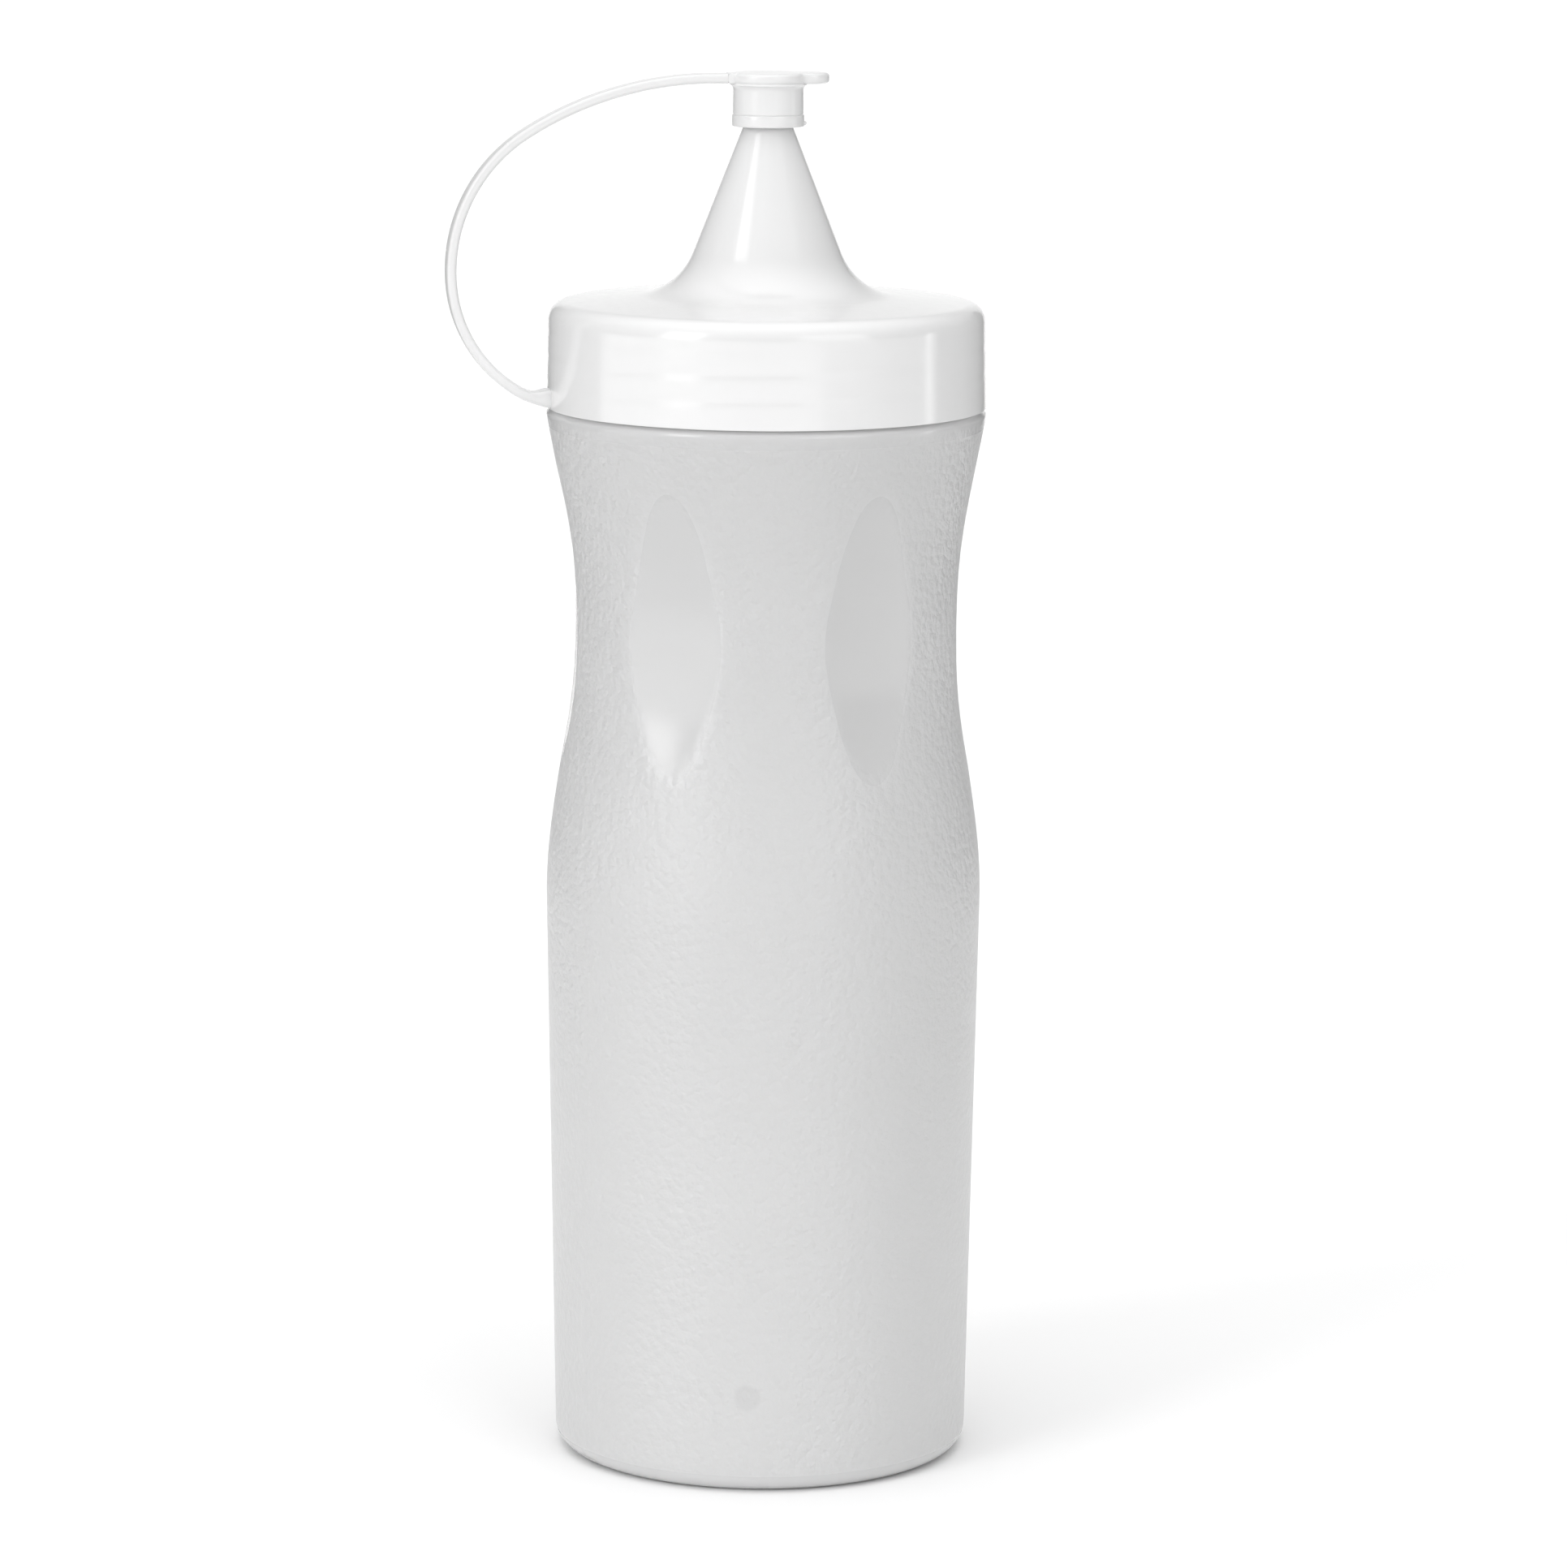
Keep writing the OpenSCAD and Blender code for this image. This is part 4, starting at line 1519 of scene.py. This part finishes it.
@dataclass
class Studio:
    """Floor, light and camera."""

    camera_turn: float = -10.0
    camera_distance: float = 1.25
    camera_height: float = 0.3488
    camera_pitch: float = 9.84
    camera_yaw: float = 0.18
    camera_roll: float = 0.4
    lens: float = 149.06
    card_distance: float = 0.7
    horizon: float = 0.14
    zenith: float = 2.2
    key_turn: float = -38.0
    key_lift: float = 32.0
    key_width: float = 6.0
    key_light: float = 0.3
    softboxes: tuple[Softbox, ...] = (
        Softbox(turn=-46.0, half_width=12.0, low=-0.03, high=0.66, light=4.6),
        Softbox(turn=36.0, half_width=20.0, low=-0.03, high=0.6, light=2.0),
    )
    box_sharpness: float = 20.0
    box_top_sharpness: float = 8.0
    backdrop_light: float = 0.9
    floor_half: float = 14.0

    def floor(self) -> None:
        """Lays the floor."""
        h = self.floor_half
        square = [(-h, -h, 0.0), (h, -h, 0.0), (h, h, 0.0), (-h, h, 0.0)]
        made = mesh_object("floor", square, [], [(0, 1, 2, 3)])
        made.data.materials.append(PaleFloor().material())

    def world(self) -> None:
        """Sets the soft light of the room: brighter overhead and towards the key light."""
        world = bpy.data.worlds.new("room")
        world.use_nodes = True
        room = NodeTree(world.node_tree)
        ray, total = room.node("ShaderNodeTexCoord").outputs["Generated"], room.math

        def part(value: tuple[float, float, float]) -> bpy.types.NodeSocket:
            """How far the ray points in a direction."""
            return room.measure("DOT_PRODUCT", ray, value)

        turn, lift = math.radians(self.camera_turn + self.key_turn), math.radians(self.key_lift)
        back = math.radians(self.camera_turn)
        towards_key = (math.sin(turn) * math.cos(lift), -math.cos(turn) * math.cos(lift), math.sin(lift))
        up = total("MAXIMUM", part((0.0, 0.0, 1.0)), 0.0)
        level = total("MULTIPLY_ADD", total("POWER", up, 3.0), self.zenith - self.horizon, self.horizon)
        key = total("EXPONENT", total("MULTIPLY_ADD", part(towards_key), self.key_width, -self.key_width))
        behind = total("MAXIMUM", part((-math.sin(back), math.cos(back), 0.0)), 0.0)
        light = total("MULTIPLY_ADD", key, self.key_light, level)
        front, aside = part((math.sin(back), -math.cos(back), 0.0)), part((math.cos(back), math.sin(back), 0.0))
        turned = total("ARCTAN2", aside, front)
        height = part((0.0, 0.0, 1.0))
        for box in self.softboxes:
            beside = total("ABSOLUTE", total("SUBTRACT", turned, math.radians(box.turn)))
            sharp, soft = self.box_sharpness, self.box_top_sharpness
            inside = total("MULTIPLY_ADD", beside, -sharp, sharp * math.radians(box.half_width))
            above = total("MULTIPLY_ADD", height, sharp, -sharp * box.low)
            below = total("MULTIPLY_ADD", height, -soft, soft * box.high)
            shape = total("MINIMUM", total("MINIMUM", inside, above), total("MINIMUM", below, 1.0))
            light = total("MULTIPLY_ADD", total("MAXIMUM", shape, 0.0), box.light, light)
        light = total("MULTIPLY_ADD", total("POWER", behind, 12.0), self.backdrop_light, light)
        background = room.tree.nodes["Background"].inputs
        room.feed(background["Strength"], light)
        room.feed(background["Color"], (1.0, 1.0, 1.0, 1.0))
        bpy.context.scene.world = world

    def card(self, name: str, turn: tuple[float, float], height: float, tone: float, glow: float = 0.0) -> None:
        """Stands a curved card that only shows in glossy reflections, to draw the form of white plastic: a dark card
        paints darker reflections, a glowing one paints a highlight in those reflections.

        Args:
            name: Its name.
            turn: Directions of its two ends from the camera's direction, in degrees.
            height: Its height.
            tone: Its grey.
            glow: Its own light.
        """
        ends = np.radians(self.camera_turn + np.linspace(turn[0], turn[1], 13))
        foot = self.card_distance * np.stack([np.sin(ends), -np.cos(ends)], 1)
        points = [(x, y, MM) for x, y in foot] + [(x, y, height) for x, y in foot]
        count = len(ends)
        made = mesh_object(name, points, [], [(i, i + 1, count + i + 1, count + i) for i in range(count - 1)])
        sheet = NodeSheet(name)
        colour = sheet.tint(sheet.noise(8.0, 2.0), (0.8 * tone,) * 3, (tone,) * 3)
        sheet.set(Base_Color=colour, Roughness=1.0, Specular_IOR_Level=0.0)
        sheet.set(Emission_Color=(1.0, 1.0, 1.0, 1.0), Emission_Strength=glow)
        made.data.materials.append(sheet.material)
        for ray in ("camera", "diffuse", "transmission", "volume_scatter", "shadow"):
            setattr(made, "visible_" + ray, False)

    def cards(self) -> None:
        """Stands the cards round the bottle: two dark ones that paint darker reflections on its sides, and two glowing
        ones that paint highlights in its reflections.
        """
        self.card("right_card", (97, 160), 0.42, 0.05)
        self.card("left_card", (-94, -164), 0.42, 0.22)
        self.card("front_glow", (-92, 29), 0.2, 0.8, 1.3)
        self.card("right_strip", (89, 94), 0.3, 0.8, 2.6)

    def camera(self) -> None:
        """Stands the camera."""
        turn, pitch, yaw = (math.radians(v) for v in (self.camera_turn, self.camera_pitch, self.camera_yaw))
        ahead = Vector((-math.sin(turn), math.cos(turn), 0.0))
        aside = Vector((math.cos(turn), math.sin(turn), 0.0))
        up = Vector((0.0, 0.0, 1.0))
        level = ahead * math.cos(yaw) + aside * math.sin(yaw)
        right = aside * math.cos(yaw) - ahead * math.sin(yaw)
        look = level * math.cos(pitch) - up * math.sin(pitch)
        top = up * math.cos(pitch) + level * math.sin(pitch)
        roll = math.radians(self.camera_roll)
        right, top = right * math.cos(roll) + top * math.sin(roll), top * math.cos(roll) - right * math.sin(roll)
        lens = bpy.data.cameras.new("camera")
        lens.lens, lens.sensor_width = self.lens, 36.0
        lens.clip_start, lens.clip_end = 0.05, 60.0
        made = bpy.data.objects.new("camera", lens)
        bpy.context.scene.collection.objects.link(made)
        place = -ahead * self.camera_distance + up * self.camera_height
        turned = Matrix((right, top, -look)).transposed().to_4x4()
        made.matrix_world = Matrix.Translation(place) @ turned
        bpy.context.scene.camera = made

    def build(self) -> None:
        """Sets up the whole studio."""
        self.floor()
        self.world()
        self.cards()
        self.camera()
        bpy.context.scene.view_settings.view_transform = "Standard"


def main() -> None:
    """Builds the bottle around its frame."""
    logging.basicConfig(level=logging.INFO, format="%(name)s: %(message)s")
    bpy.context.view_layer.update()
    Studio().build()
    layer = PathLayer()
    lid_finish = GlossMoulding("gloss_white_lid").material()
    strap_finish = GlossMoulding("gloss_white_strap", roughness=0.24, flow=(0.3, 1.0, 0.3)).material()
    cap_finish = GlossMoulding("gloss_white_cap", roughness=0.22, flow=(1.0, 1.0, 0.4)).material()
    bottle = Bottle()
    bottle.build(layer, FrostedPolyethylene().material())
    lid = Lid(bottle)
    lid.build(layer, lid_finish)
    SealRing(lid).build(SealFoam().material())
    cap = TipCap(lid)
    cap.build(cap_finish)
    Strap(lid, cap).build(layer, strap_finish)


if __name__ == "__main__":
    main()
